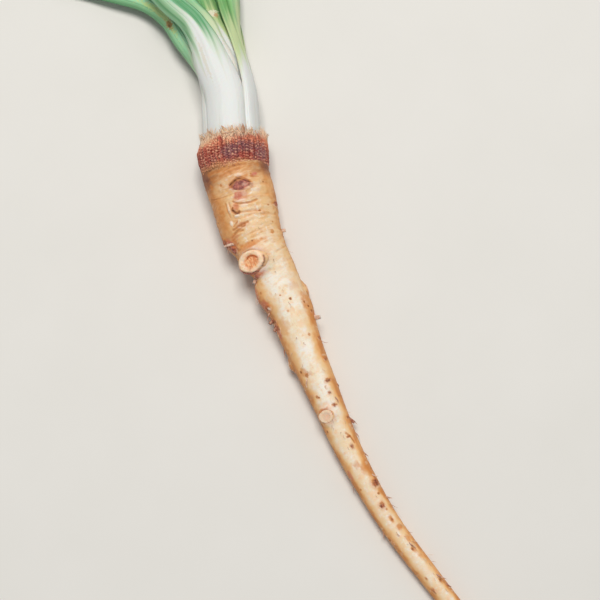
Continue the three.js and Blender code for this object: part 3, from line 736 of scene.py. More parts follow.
# along, degrees, number of hairs
TUFTS = [[37.6, -58, 9], [36.5, -44, 7], [47.5, -88, 5], [20.5, -70, 6], [112.5, -12, 6], [66, -64, 4]]
paths, widths, dry = [], [], []
for along, degrees, length, lean in rootlets:
    paths.append(thread_path(along, degrees, length, lean, 0.10, SINK))
    widths.append(np.interp(thread_share, [0, 0.15, 0.6, 1], [0.62, 0.42, 0.27, 0.10]))
    dry.append(draw.uniform(0.2, 0.8))
for _ in range(HAIRS):
    along, degrees = draw.uniform(14, 292), draw.uniform(-125, 125)
    length = draw.uniform(1.2, 4.5) * min(1.0, 0.35 + float(radius_at(along)) / 9)
    lean = math.radians(draw.uniform(15, 80))
    paths.append(thread_path(along, degrees, length, lean, 0.22, HAIR_SINK))
    widths.append(draw.uniform(0.07, 0.15) * blend(1, 0.35, thread_share))
    dry.append(draw.uniform(0.0, 1.0))
for along, degrees, count in TUFTS:
    for _ in range(count):
        where = along + draw.uniform(-1.3, 1.3), degrees + draw.uniform(-12, 12)
        lean = math.radians(draw.uniform(35, 85))
        paths.append(thread_path(*where, draw.uniform(2.0, 4.6), lean, 0.25, HAIR_SINK))
        widths.append(draw.uniform(0.10, 0.20) * blend(1, 0.3, thread_share))
        dry.append(draw.uniform(0.0, 0.5))
paths, widths = np.array(paths), np.array(widths)
outward = np.tile([0.31, 0.27, 0.91], (len(paths), 1))
points, faces = thread_mesh(paths, widths, outward, THREAD_SIDES)
thread_marks = {
    "dry": np.repeat(dry, len(thread_share) * THREAD_SIDES),
    "reach": np.tile(np.repeat(thread_share, THREAD_SIDES), len(paths)),
}
root_threads = add_piece("root_threads", points, faces, "skin", thread_marks)
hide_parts("taproot")

# %% Stout stumps with torn ends: along, turn, length, lean, swing, radius, how dry
STUMPS = [
    [37.5, -66, 3.4, 35, 0, 1.0, 0.6],
    [60, -84, 2.6, 20, 0, 1.0, 0.8],
    [63.5, -80, 2.2, 30, 0, 0.9, 0.85],
    [66, 74, 2.8, 25, 0, 1.15, 0.3],
    [115.5, 76, 3.2, 55, 0, 0.8, 0.8],
    [22, 92, 2.4, 20, 0, 1.0, 0.5],
    [20.4, -52, 5.0, 72, -98, 0.62, 0.25],
]
STUMP_STEPS = 18
STUMP_SIDES = 20
STUMP_SINK = 1.0
share = np.linspace(0, 1, STUMP_STEPS)
stumps, stump_marks = [], {"dry": [], "reach": []}
for along, degrees, length, lean, swing, radius, dryness in STUMPS:
    bend = draw.uniform(-0.12, 0.12)
    middle = np.stack([bend * length * share**2, 0 * share, share * (length + STUMP_SINK)], -1)
    turn = np.arange(STUMP_SIDES) * 2 * math.pi / STUMP_SIDES
    girth_here = radius * np.interp(share, [0, 0.25, 0.8, 0.9, 0.97, 1], [1.5, 1.0, 0.8, 0.75, 0.5, 0.12])
    lobes = 0.10 * np.sin(3 * turn + along)
    ring = girth_here[:, None] * (1 + lobes + 0.05 * draw.uniform(-1, 1, STUMP_SIDES))
    torn = 0.35 * draw.uniform(-1, 1, STUMP_SIDES) * ease(share, 0.7, 0.95)[:, None]
    torn = torn - 0.9 * ease(share, 0.93, 1)[:, None]
    local = np.stack([
        middle[:, :1] + ring * np.cos(turn), middle[:, 1:2] + ring * np.sin(turn), middle[:, 2:] + torn,
    ], -1)
    placed = place_on_skin(along, degrees, local, STUMP_SINK, math.radians(lean), math.radians(swing))
    stumps.append((placed.reshape(-1, 3), round_faces(STUMP_STEPS, STUMP_SIDES)))
    stump_marks["dry"].append(np.full(STUMP_STEPS * STUMP_SIDES, dryness))
    stump_marks["reach"].append(np.repeat(share, STUMP_SIDES))
stump_marks = {name: np.concatenate(values) for name, values in stump_marks.items()}
root_stumps = add_piece("root_stumps", *join_parts(stumps), "skin", stump_marks)
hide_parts("taproot")

# %% [markdown]
# ## The fibre collar
# The bases of last year's leaves rot away and leave their veins behind: a tight sleeve of stiff red-brown
# fibres, straw-coloured and frayed at the top, with a few papery scraps between them. A bump map on a
# ring would be smooth at its edge, where a collar is at its roughest. This one is a ridged ring for the
# packed inner fibres, with well over a thousand single fibres laid over it.

# %% The form of the ring under the fibres, which stands in for the imported collar
# height along the neck, radius, how much wider it is to the right of a leafward look
COLLAR_PROFILE = np.array([
    [-3.4, 15.45, 0], [0.3, 15.8, 0], [2.5, 16.25, -0.2],
    [8, 16.65, -0.4], [13.5, 15.5, 0.6], [18, 15.1, 0.3],
])
COLLAR_RADIUS = 16.0
BORE_AT_TOP = 15.1
BORE_AT_FOOT = 14.3
COLLAR_TOP = 13.6
RING_COLUMNS = 300
RING_ROWS = 46
# The ring's shade and bead values paint it dark, as painted shade between the fibres laid over it.
RING_SHADE = 0.3
RING_GAP_SHADE = -0.8
RING_CLEARANCE = 0.05
FIBRE_CLEARANCE = 0.35
BORE_STEP = 6


def collar_radius(rise, turn):
    """The outside of the packed fibres at that height and turn."""
    middle, lean = (np.interp(rise, COLLAR_PROFILE[:, 0], COLLAR_PROFILE[:, k]) for k in (1, 2))
    return middle + lean * np.sin(turn)


# %% What colours the collar
# height, degrees round it, half height, half width in degrees, strength
COLLAR_PATCHES = {
    "damp": [
        [4.4, -3, 3.6, 17, 1.0], [6.6, 22, 3.0, 20, 0.8], [4.4, 54, 4.6, 22, 0.75], [6, 150, 4, 30, 0.8],
        [2.0, -38, 2.0, 12, 0.5],
    ],
    "ruddy": [
        [2.2, 17, 1.5, 9, 0.6], [10.5, -17, 1.8, 6, 1.0], [2.2, 1, 1.4, 5, 0.6], [7, -52, 4, 26, 0.35],
        [5, -120, 5, 30, 0.7],
    ],
    "straw": [
        [12.2, -52, 3.4, 24, 1.0], [11.6, -5, 2.4, 12, 0.8], [9.6, -34, 1.8, 12, 0.6], [8.8, -9, 1.6, 7, 0.6],
        [12, 100, 2, 40, 0.6], [12, -150, 2, 30, 0.7],
    ],
}


def max_of(values):
    """The largest of several arrays, point by point."""
    return np.max(list(values), axis=0)


def in_patch(rise, turn, at, degrees, half, arc, strength):
    """How much each point is in one patch, which fades out slowly."""
    away = np.hypot((rise - at) / half, turned_from(turn, degrees) / math.radians(arc))
    return strength * ease(away, 1.7, 0.2)


def patch_facts(rise, turn):
    """How much each point is in each kind of patch."""
    return {name: max_of(in_patch(rise, turn, *patch) for patch in patches)
            for name, patches in COLLAR_PATCHES.items()}


# %% The ring, ridged outside and plain inside
turns = np.arange(RING_COLUMNS) * 2 * math.pi / RING_COLUMNS
ring_share = np.linspace(0, 1, RING_ROWS)
ragged_top = COLLAR_TOP + 1.3 * uneven(neck_point(0.0, COLLAR_RADIUS, turns), 1.4) - 0.2
heights = blend(-1.2, ragged_top[None, :], ring_share[:, None])
outer_radius = collar_radius(heights, turns[None, :])
rough = uneven(neck_point(heights, COLLAR_RADIUS, turns[None, :]) * np.array([0.35, 1.0, 1.0]), 0.5)
outer = neck_point(heights, outer_radius + 0.22 * rough - 0.45, turns[None, :])
inner_heights = blend(0.3, ragged_top[None, :], ring_share[:, None])[::-1]
inner = neck_point(inner_heights, blend(BORE_AT_TOP, BORE_AT_FOOT, ring_share[:, None]), turns[None, :])
ring_points = np.concatenate([outer, inner[::BORE_STEP], inner[-1:]])
ring_points[..., 2] = np.maximum(ring_points[..., 2], RING_CLEARANCE)
rows = len(ring_points)
ring_faces = [face[::-1] for face in grid_faces(rows, RING_COLUMNS, True)]
last = (rows - 1) * RING_COLUMNS
for j in range(RING_COLUMNS):
    beside = (j + 1) % RING_COLUMNS
    ring_faces.append([last + beside, beside, j, last + j])
ring_heights = np.concatenate([heights, inner_heights[::BORE_STEP], inner_heights[-1:]])
ring_marks = {
    "rise": ring_heights,
    "shade": np.full(ring_heights.shape, RING_SHADE),
    "bead": np.full(ring_heights.shape, RING_GAP_SHADE),
    **patch_facts(ring_heights, turns[None, :]),
}
collar_ring = add_piece("collar_ring", ring_points.reshape(-1, 3), ring_faces, "fibre", ring_marks)
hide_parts("fibre_collar")

# %% Fibres laid over the ring: columns of beads like a weave, then thin ones that stray
# sides, count, points along, first height, last height, stand-off, thickness, sway, beads, jitter
FIBRE_LAYERS = [
    (6, 76, 60, (-3.3, -2.4), (12.4, 13.8), -0.22, (0.46, 0.60), 0.45, 1.0, 0.26),
    (6, 76, 54, (-2.8, -1.0), (10.0, 13.6), -0.20, (0.30, 0.42), 0.60, 1.0, 0.26),
    (3, 130, 12, (-0.8, 8.0), (5.0, 13.0), 0.30, (0.08, 0.15), 1.2, 0.3, 0.45),
    (3, 300, 10, (-3.2, -1.6), (-0.4, 2.0), -0.02, (0.08, 0.16), 0.9, 0.2, 0.45),
    (3, 720, 11, (8.5, 12.6), (13.6, 17.2), 0.20, (0.08, 0.16), 1.9, 0.0, 0.45),
    (3, 320, 11, (11.5, 13.5), (15.2, 18.6), 0.00, (0.06, 0.11), 2.6, 0.0, 0.45),
]
BEAD_PITCH = 1.35
BEADS_ALONG = 24
# degrees round the collar where the frayed edge stands up longest
FRINGE_TUFTS = (-43, -5, 18, 66, 104, 137, 175, -146, -112, -80)


def lay_fibres(number, count, steps, starts, ends, stand, thickness, sway, beaded, jitter):
    """Paths and radii of fibres that climb the collar, and what the finish needs to know of each."""
    share = np.linspace(0, 1, steps)[None, :]
    low, high = draw.uniform(*starts, count)[:, None], draw.uniform(*ends, count)[:, None]
    column = np.arange(count) + 0.5 * number
    turn = ((column + draw.uniform(-jitter, jitter, count)) * 2 * math.pi / count)[:, None]
    if not beaded:
        tuft = max_of(np.exp(-((turned_from(turn, degrees) / 0.17) ** 2)) for degrees in FRINGE_TUFTS)
        high = np.maximum(high - 2.6 + 3.2 * tuft, low + 0.8)
    rise = blend(low, high, share)
    lean = draw.normal(0, 0.008, count)[:, None] * sway
    wander = 0.014 * sway * np.sin(rise * draw.uniform(0.5, 1.1, count)[:, None] + 9 * turn)
    lift = stand + 0.12 * draw.random(count)[:, None] + 0.08 * np.sin(1.9 * rise + 40 * turn)
    flare = draw.uniform(-0.4, 1.0, count)[:, None] * ease(rise, 13, 20) * 1.6
    radius = collar_radius(rise, turn) + lift + flare
    rows = rise / BEAD_PITCH + 0.5 * number + 0.5 * np.sin(2 * turn + 1) + 0.35 * np.sin(5 * turn)
    rows = rows + 0.1 * lift + draw.normal(0, 0.14, count)[:, None] + 0.20 * np.sin(0.9 * rise + 13 * turn)
    beads = -np.cos(2 * math.pi * rows)
    bead_shades = draw.random((count, BEADS_ALONG))
    flecks = np.take_along_axis(bead_shades, np.floor(rows).astype(int) % BEADS_ALONG, 1)
    shade = blend(draw.random(count)[:, None], flecks, 0.75 * beaded)
    thick = draw.uniform(*thickness, count)[:, None] * (1 + 0.40 * beaded * beads)
    thick = thick * np.interp(share, [0, 0.15, 0.8, 1], [0.25, 1, 0.9, 0.25])
    paths = neck_point(rise, radius, turn + lean * (rise - low) + wander)
    paths[..., 2] = np.maximum(paths[..., 2], FIBRE_CLEARANCE)
    out = neck_point(0.0, 1.0, turn[:, 0]) - NECK
    facts = {"rise": rise, "bead": beads * beaded, "shade": shade + 0 * rise, **patch_facts(rise, turn)}
    return paths, thick, out, facts


# %% All the fibres as one piece
fibres, fibre_marks = [], {name: [] for name in ("rise", "bead", "shade", *COLLAR_PATCHES)}
for number, (sides, *layer) in enumerate(FIBRE_LAYERS):
    paths, thick, out, facts = lay_fibres(number, *layer)
    fibres.append(thread_mesh(paths, thick, out, sides))
    for name, value in facts.items():
        fibre_marks[name].append(np.repeat(value, sides, axis=1).ravel())
fibre_marks = {name: np.concatenate(values) for name, values in fibre_marks.items()}
collar_fibres = add_piece("collar_fibres", *join_parts(fibres), "fibre", fibre_marks)
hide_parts("fibre_collar")

# %% Papery scraps that stand up at the frayed edge
SCRAP_ROWS, SCRAP_COLUMNS = 8, 5
SCRAP_THICKNESS = 0.09
SMALL_SCRAPS = 40
# degrees round the collar, width, height, how brown
STANDING_SCRAPS = [[-6, 2.8, 3.6, 0.2], [1, 2.4, 3.4, 0.3], [-13, 2.2, 3.0, 0.2], [21, 2.6, 4.4, 1.0],
                   [-46, 2.2, 4.0, 1.0], [-39, 1.8, 3.2, 0.5], [36, 2.2, 2.6, 0.3], [-60, 2.4, 3.0, 0.3]]
scraps = STANDING_SCRAPS + [
    [draw.uniform(-180, 180), draw.uniform(0.5, 1.3), draw.uniform(0.8, 2.8), draw.uniform(0, 0.7)]
    for _ in range(SMALL_SCRAPS)
]
one_sheet = sheet_faces(SCRAP_ROWS, SCRAP_COLUMNS)
sheets, scrap_marks = [], {"lift": [], "edge": [], "brown": []}
for number, (degrees, width, height, brown) in enumerate(scraps):
    up_share = np.linspace(0, 1, SCRAP_ROWS)[:, None]
    over = np.linspace(-1, 1, SCRAP_COLUMNS)[None, :]
    foot = draw.uniform(12.2, 13.6)
    curl = draw.uniform(-0.5, 1.2)
    skew = draw.uniform(-0.9, 0.9)
    taper = (1 - up_share) ** draw.uniform(0.6, 1.3) * (1 + 0.3 * np.sin(8 * up_share + number)) + 0.04
    rise = foot + height * up_share + 0.3 * over**2
    turn = math.radians(degrees) + (over * width / 2 * taper + skew * up_share * width) / COLLAR_RADIUS
    radius = collar_radius(foot, turn) + 0.15 + 0.4 * draw.random()
    radius = radius + curl * up_share**2 - 0.25 * over**2 * taper
    outside, inside = neck_point(rise, radius, turn), neck_point(rise, radius - SCRAP_THICKNESS, turn)
    sheets.append((np.concatenate([outside, inside]).reshape(-1, 3), one_sheet))
    facts = {"lift": up_share, "edge": np.maximum(np.abs(over), up_share), "brown": brown}
    for name, value in facts.items():
        scrap_marks[name] += [np.broadcast_to(value, (SCRAP_ROWS, SCRAP_COLUMNS))] * 2
papery_scraps = add_piece("papery_scraps", *join_parts(sheets), "fibre", scrap_marks)
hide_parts("fibre_collar")

# %% [markdown]
# ## The leaves
# Each leaf clasps the crown with a white sheath and then opens into a long strap, keeled along its
# midrib like a leek's. It is a sheet bent across a line: the line is a curve through the places where
# the midrib goes, and the bend eases from the round of the sheath to a shallow channel. A flat strip with
# a bend modifier would have the same face on both sides. This sheet has a back with a raised midrib and
# fine parallel veins, a smoother face, and thin edges.

# %% The nine leaves
DOWN = [0, 0, -1]
UP = [0, 0, 1]
# turn, ring and wrap place the sheath: degrees round the neck, its radius and its half angle. blade is the
# width of the strap, and face the way that the strap looks, once it has settled by these shares of its
# length. path holds the places that the midrib goes through after the sheath.
LEAVES = {
    "leaf_1": dict(turn=-110, ring=13.0, wrap=38, blade=13, face=[-0.15, -0.35, 0.92], settle=[0.08, 0.32],
                   path=[[-58, 5.6, 14.4], [-66.6, 7.6, 15.6], [-75.4, 8.5, 15.6], [-85.7, 7.5, 14.8],
                         [-97.2, 6.3, 13.2], [-108.1, 1.9, 11.2], [-121.4, -9.6, 8.6], [-152, -45, 4.6],
                         [-182, -63, 1.6], [-206, -73, 0.3]]),
    "leaf_2": dict(turn=-15, ring=13.0, wrap=47, blade=12.5, face=UP, settle=[0.08, 0.32],
                   path=[[-62.8, 13.8, 28.6], [-74.1, 14.8, 27.6], [-86.4, 13.9, 25.6],
                         [-101.1, 8.7, 23.2], [-130, 2, 17], [-165, -10, 9], [-200, -26, 2.6],
                         [-232, -42, 0.3]]),
    "leaf_3": dict(turn=0, ring=11.2, wrap=31, blade=10.5, face=UP, settle=[0.08, 0.32],
                   path=[[-60, 19.6, 25.5], [-71.8, 19.4, 23.6], [-83.8, 19.6, 21.4], [-97.2, 16.3, 19],
                         [-128.8, 10.6, 13], [-163.7, 3.7, 7], [-198, -7, 2], [-224, -13, 0.3]]),
    "leaf_4": dict(turn=5, ring=9.5, wrap=33, blade=11.5, face=UP, settle=[0.08, 0.32],
                   path=[[-60, 22.6, 21.5], [-72, 23.4, 19.5], [-83.4, 22.9, 17.2], [-91.9, 24.0, 15.2],
                         [-121, 27.0, 10.0], [-156.1, 27.0, 5.0], [-187.4, 24.5, 1.7],
                         [-210.3, 22.5, 0.3]]),
    "leaf_5": dict(turn=68, ring=13.0, wrap=29, blade=13, face=[0, 0.15, 0.98], settle=[0.25, 0.5],
                   path=[[-57, 29.8, 18.8], [-68.8, 31.5, 17.6], [-88.5, 35.7, 16.8], [-115.9, 44, 12.6],
                         [-151.1, 53.8, 6], [-180.6, 61.6, 1.8], [-202, 67, 0.3]]),
    "leaf_6": dict(turn=134, ring=11.2, wrap=31, blade=10, face=DOWN, settle=[0.15, 0.45],
                   path=[[-58, 27, 7.6], [-75, 31, 4.4], [-95, 34.5, 2.4], [-130, 39, 1.0],
                         [-160, 44, 0.5], [-188, 49, 0.3]]),
    "leaf_7": dict(turn=170, ring=13.0, wrap=34, blade=10.5, face=DOWN, settle=[0.08, 0.32],
                   path=[[-60, 18.8, 2.6], [-80, 18.4, 1.4], [-110, 19, 0.8], [-145, 21, 0.8],
                         [-182, 24, 0.8]]),
    "leaf_8": dict(turn=-125, ring=11.2, wrap=40, blade=10.5, face=DOWN, settle=[0.28, 0.5],
                   path=[[-62, 13.4, 9.2], [-73.3, 13.9, 6.8], [-86.9, 11.8, 4.4], [-104.3, 5.8, 2.2],
                         [-130, -2, 0.8], [-160, -9, 0.8], [-186, -16, 0.8]]),
    "leaf_9": dict(turn=60, ring=7.6, wrap=36, blade=6.5, face=UP, settle=[0.1, 0.5],
                   path=[[-60, 23.4, 15.6], [-69.4, 26.7, 13.2], [-87.5, 34.1, 11.6], [-110.1, 39, 8.8],
                         [-132.1, 41.5, 5.6]]),
}
SHEATH_POINTS = np.array([0, 14, 27])
CROWN_GAP = 0.3
print("leaves:", len(LEAVES))


# %% A midrib curve through its places
def curve_through(places):
    """Points close together on a smooth curve through the places, which doesn't overshoot them."""
    places = np.asarray(places, float)
    ends = np.array([2 * places[0] - places[1], 2 * places[-1] - places[-2]])
    padded = np.concatenate([ends[:1], places, ends[1:]])
    knots = np.linalg.norm(np.diff(padded, axis=0), axis=1) ** 0.5
    curve = []
    for k in range(1, len(padded) - 2):
        p0, p1, p2, p3 = padded[k - 1:k + 3]
        d0, d1, d2 = knots[k - 1:k + 2]
        m1 = ((p1 - p0) / d0 - (p2 - p0) / (d0 + d1) + (p2 - p1) / d1) * d1
        m2 = ((p2 - p1) / d1 - (p3 - p1) / (d1 + d2) + (p3 - p2) / d2) * d1
        curve.append(bend_between(p1, p2, m1, m2, np.linspace(0, 1, 60, endpoint=False)[:, None]))
    return np.concatenate(curve + [padded[-2:-1]])


def even_steps(curve, count):
    """The curve again as that many points, evenly spaced, and its length."""
    run = np.concatenate([[0], np.cumsum(np.linalg.norm(np.diff(curve, axis=0), axis=1))])
    at = np.linspace(0, run[-1], count)
    return np.stack([np.interp(at, run, curve[:, k]) for k in range(3)], -1), run[-1]


# %% The section of a leaf along its length
SHEATH_THICKNESS = 1.35
BLADE_THICKNESS = 0.9
TIP_THICKNESS = 0.65
EDGE_THINNING = 0.62
MIDRIB_RISE = 0.35
MIDRIB_HALF_WIDTH = 0.8
TIP_WIDTH = 1.4
VEIN_RISE = 0.045
VEIN_PITCH = 1.05
WAVE_RISE = 0.5
WAVE_RUN = 5.1
CHANNEL_HALF_ANGLE = math.radians(36)
TIP_HALF_ANGLE = math.radians(15)
TUCK_ANGLE = math.radians(4.5)
TUCK_DEPTH = 0.9
LEAF_STATIONS = 150
LEAF_STRIPS = 40


def leaf_section(leaf, share):
    """Width, bend to one side, thickness and how open the leaf is, at shares of its length."""
    wrap = math.radians(leaf["wrap"])
    open_out = ease(share, 0.1, 0.32)
    taper = 1 - np.clip((share - 0.6) / 0.4, 0, 1) ** 1.7
    blade = np.maximum(leaf["blade"] * taper, TIP_WIDTH)
    width = blend(2 * leaf["ring"] * wrap, blade, open_out)
    bend = blend(wrap, blend(TIP_HALF_ANGLE, CHANNEL_HALF_ANGLE, taper), open_out)
    thick = blend(TIP_THICKNESS, blend(SHEATH_THICKNESS, BLADE_THICKNESS, open_out), taper)
    return width, bend, thick, open_out, taper


# %% Bending the sheet across its midrib
def leaf_sheet(leaf, number):
    """Points of the back and of the face of one leaf, and what its finish needs to know."""
    sheath = neck_point(CROWN_HEIGHT + CROWN_GAP + SHEATH_POINTS, leaf["ring"], math.radians(leaf["turn"]))
    rib, length = even_steps(curve_through(np.concatenate([sheath, leaf["path"]])), LEAF_STATIONS)
    share = np.linspace(0, 1, LEAF_STATIONS)
    along = unit(np.gradient(rib, axis=0))
    start = neck_point(0.0, 1.0, math.radians(leaf["turn"])) - NECK
    facing = blend(start, np.array(leaf["face"], float), ease(share, *leaf["settle"])[:, None])
    facing = unit(facing - along * (facing * along).sum(-1, keepdims=True))
    across = np.cross(along, facing)
    width, bend, thick, open_out, taper = leaf_section(leaf, share)
    over = np.linspace(-1, 1, LEAF_STRIPS + 1)[None, :]
    closed = (1 - open_out)[:, None]
    angle = over * (bend[:, None] + TUCK_ANGLE * closed * ease(np.abs(over), 0.6, 1.0))
    curl = (width / (2 * bend))[:, None, None]
    normal = np.cos(angle)[..., None] * facing[:, None] + np.sin(angle)[..., None] * across[:, None]
    middle = rib[:, None] - curl * facing[:, None] + curl * normal
    distance, free = share[:, None] * length, ease(share, 0.3, 0.5)[:, None]
    wave = free * taper[:, None] * WAVE_RISE * np.abs(over) ** 3
    wave = wave * np.sin(distance / WAVE_RUN + 1.7 * np.sign(over) + number)
    wave = wave - TUCK_DEPTH * closed * ease(np.abs(over), 0.72, 1.0)
    off_rib = over * width[:, None] / 2
    keel = MIDRIB_RISE * blend(0.2, 1, open_out)[:, None] * taper[:, None]
    keel = keel * np.exp(-((off_rib / MIDRIB_HALF_WIDTH) ** 2))
    veins = VEIN_RISE * np.cos(off_rib * 2 * math.pi / VEIN_PITCH) * blend(0.5, 1, open_out)[:, None]
    half = thick[:, None] / 2 * (1 - EDGE_THINNING * np.abs(over) ** 6)
    fine = 0.05 * uneven(np.stack(np.broadcast_arrays(distance, 5 * off_rib, 9.0 * number), -1), 14)
    back = middle + normal * (half + keel + veins + wave + fine)[..., None]
    front = middle + normal * (wave - half + 0.4 * veins + fine)[..., None]
    sunk = np.minimum(np.minimum(back[..., 2], front[..., 2]), 0)
    back[..., 2] -= sunk
    front[..., 2] -= sunk
    facts = {"reach": distance, "over": over, "off_rib": off_rib, "share": share[:, None]}
    return back, front, facts, length


# %% Each leaf as a piece
leaves = {}
for number, (name, leaf) in enumerate(LEAVES.items(), 1):
    back, front, facts, length = leaf_sheet(leaf, number)
    points = np.concatenate([back, front]).reshape(-1, 3)
    leaf_marks = {mark: [np.broadcast_to(value, back.shape[:2])] * 2 for mark, value in facts.items()}
    faces = sheet_faces(LEAF_STATIONS, LEAF_STRIPS + 1)
    leaves[name] = add_piece(f"{name}_blade", points, faces, "leaf", leaf_marks)
    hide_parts(name)
    print(f"  {name}: {length:.0f} mm along its midrib")

# %% [markdown]
# ## Finishes
# Every finish is a small graph of nodes on the Principled shader. The marks written on the meshes say
# where a colour goes, and unevenness from noise in the piece's own space breaks up its edge. Nothing is
# painted from pictures, so the finishes can be re-tinted, and they hold from any side.


# %% Colours as they look on a screen
def colour(red, green, blue):
    """A colour given as it looks on a screen, 0 to 255, as the shader wants it."""
    linear = [c / 12.92 if c <= 0.04045 else ((c + 0.055) / 1.055) ** 2.4
              for c in (red / 255, green / 255, blue / 255)]
    return (*linear, 1.0)


# %% A finish in the making
class Finish:
    """A material in the making. Each tint is laid over the ones before it."""

    def __init__(self, name, first_tint, **settings):
        self.material = bpy.data.materials.new(name)
        self.material.use_nodes = True
        self.nodes = self.material.node_tree.nodes
        self.shader = self.nodes["Principled BSDF"]
        self.tint = first_tint
        for socket, value in settings.items():
            self.shader.inputs[socket.replace("_", " ")].default_value = value

    def feed(self, socket, value):
        """Links a node's output to a socket, or sets the socket to a plain value."""
        if isinstance(value, bpy.types.NodeSocket):
            self.material.node_tree.links.new(value, socket)
        else:
            socket.default_value = value

    def mark(self, name):
        """What was written on the mesh under that name."""
        reader = self.nodes.new("ShaderNodeAttribute")
        reader.attribute_name = name
        return reader.outputs["Fac"]

    def grain(self, size, detail=3.0, rough=0.55, stretch=(1, 1, 1)):
        """Unevenness with lumps of that many millimetres, in the piece's own space."""
        space, scaling, texture = (self.nodes.new(kind) for kind in (
            "ShaderNodeTexCoord", "ShaderNodeMapping", "ShaderNodeTexNoise"))
        self.feed(scaling.inputs["Vector"], space.outputs["Object"])
        scaling.inputs["Scale"].default_value = stretch
        self.feed(texture.inputs["Vector"], scaling.outputs["Vector"])
        texture.inputs["Scale"].default_value = 1 / (size * MM)
        texture.inputs["Detail"].default_value = detail
        texture.inputs["Roughness"].default_value = rough
        return texture.outputs["Fac"]

    def reckon(self, how, first, second=0.0, third=0.0):
        """One step of arithmetic."""
        step = self.nodes.new("ShaderNodeMath")
        step.operation = how
        for socket, value in zip(step.inputs, (first, second, third)):
            self.feed(socket, value)
        return step.outputs[0]

    def times(self, first, second):
        return self.reckon("MULTIPLY", first, second)

    def between(self, value, low, high, start=0.0, end=1.0):
        """A soft step: start below low, end above high."""
        step = self.nodes.new("ShaderNodeMapRange")
        step.interpolation_type = "SMOOTHSTEP"
        for socket, number in zip(step.inputs, (value, low, high, start, end)):
            self.feed(socket, number)
        return step.outputs[0]

    def mix(self, share, under, over):
        """One colour over another, by a share from 0 to 1."""
        mixer = self.nodes.new("ShaderNodeMix")
        mixer.data_type = "RGBA"
        self.feed(mixer.inputs[0], share)
        self.feed(mixer.inputs[6], under)
        self.feed(mixer.inputs[7], over)
        return mixer.outputs[2]

    def lay(self, share, tint):
        """Lays a tint over the colour so far."""
        self.tint = self.mix(share, self.tint, tint)

    def lay_where(self, value, low, high, tint, most=1.0):
        """Lays a tint where a value passes from low to high, up to a share of most."""
        self.lay(self.between(value, low, high, 0.0, most), tint)

    def press(self, height, depth, strength):
        """Fine relief below the size of the mesh, so many millimetres deep."""
        bump = self.nodes.new("ShaderNodeBump")
        bump.inputs["Strength"].default_value = strength
        bump.inputs["Distance"].default_value = depth * MM
        self.feed(bump.inputs["Height"], height)
        self.feed(self.shader.inputs["Normal"], bump.outputs["Normal"])

    def put_on(self, *pieces):
        """Gives the shader its colour, and the pieces this material."""
        self.feed(self.shader.inputs["Base Color"], self.tint)
        for piece in pieces:
            piece.data.materials.append(self.material)
        print(f"{self.material.name}: {len(self.nodes)} nodes, on", ", ".join(piece.name for piece in pieces))


# %% [markdown]
# ### Washed root skin
# Salsify skin is a thin cork: cream where it is scrubbed, tan on the flanks, golden brown near the
# collar, with orange stains and brown scars. Painted shade darkens the flanks towards the underside and
# the sides of the neck, laid with the tan. One noise would look like marble, so the colours are laid one
# over another in the order in which the plant gets them: cork, tan with painted shade, stains, creases,
# scars.

# %% Washed cork: cream, clouded, streaked and flecked
CREAM, PALE_TAN, PALE_GOLD = colour(246, 238, 222), colour(243, 222, 188), colour(236, 194, 138)
TAN_ORANGE, PALE_STREAK = colour(230, 162, 94), colour(254, 234, 206)
PEACH, WASHED = colour(246, 206, 164), colour(246, 240, 232)
skin = Finish("washed_root_skin", CREAM, Subsurface_Weight=0.12, Subsurface_Scale=0.004, IOR=1.42,
              Specular_IOR_Level=0.35, Subsurface_Radius=(1.0, 0.5, 0.25))
skin.lay_where(skin.grain(9, stretch=(0.6, 1, 1)), 0.40, 0.64, PALE_TAN)
sunned = skin.between(skin.grain(5, stretch=(1, 0.5, 0.5)), 0.35, 0.62, 1.0, 0.68)
skin.lay(skin.times(skin.mark("golden"), sunned), PALE_GOLD)
skin.lay_where(skin.grain(3.2, 2, stretch=(1, 0.7, 0.7)), 0.50, 0.68, PEACH, 0.55)
streaks = skin.grain(1.5, stretch=(1, 0.22, 0.22))
for low, high, most, tint in ((0.52, 0.70, 0.34, TAN_ORANGE), (0.44, 0.30, 0.50, PALE_STREAK)):
    skin.lay(skin.times(skin.mark("gathered"), skin.between(streaks, low, high, 0, most)), tint)
blotches = skin.grain(2.4, 3, stretch=(0.8, 1, 1))
skin.lay_where(blotches, 0.56, 0.70, TAN_ORANGE, 0.30)
skin.lay_where(blotches, 0.44, 0.32, WASHED, 0.55)
flecks = skin.grain(1.1, 3, stretch=(1, 0.6, 0.6))
skin.lay_where(flecks, 0.54, 0.68, PEACH, 0.40)
skin.lay_where(flecks, 0.45, 0.34, WASHED, 0.35)

# %% Tan flanks with painted shade and fine rings, and the brown neck with painted shade at its sides
FLANK_GOLD, DEEP_TAN_AND_SHADE, CREASE_BROWN = colour(242, 200, 146), colour(198, 124, 70), colour(168, 104, 62)
NECK_GOLD, NECK_BROWN_AND_SHADE = colour(212, 146, 88), colour(122, 66, 48)
MOST_OF_DEEP_TAN_AND_SHADE = 0.60
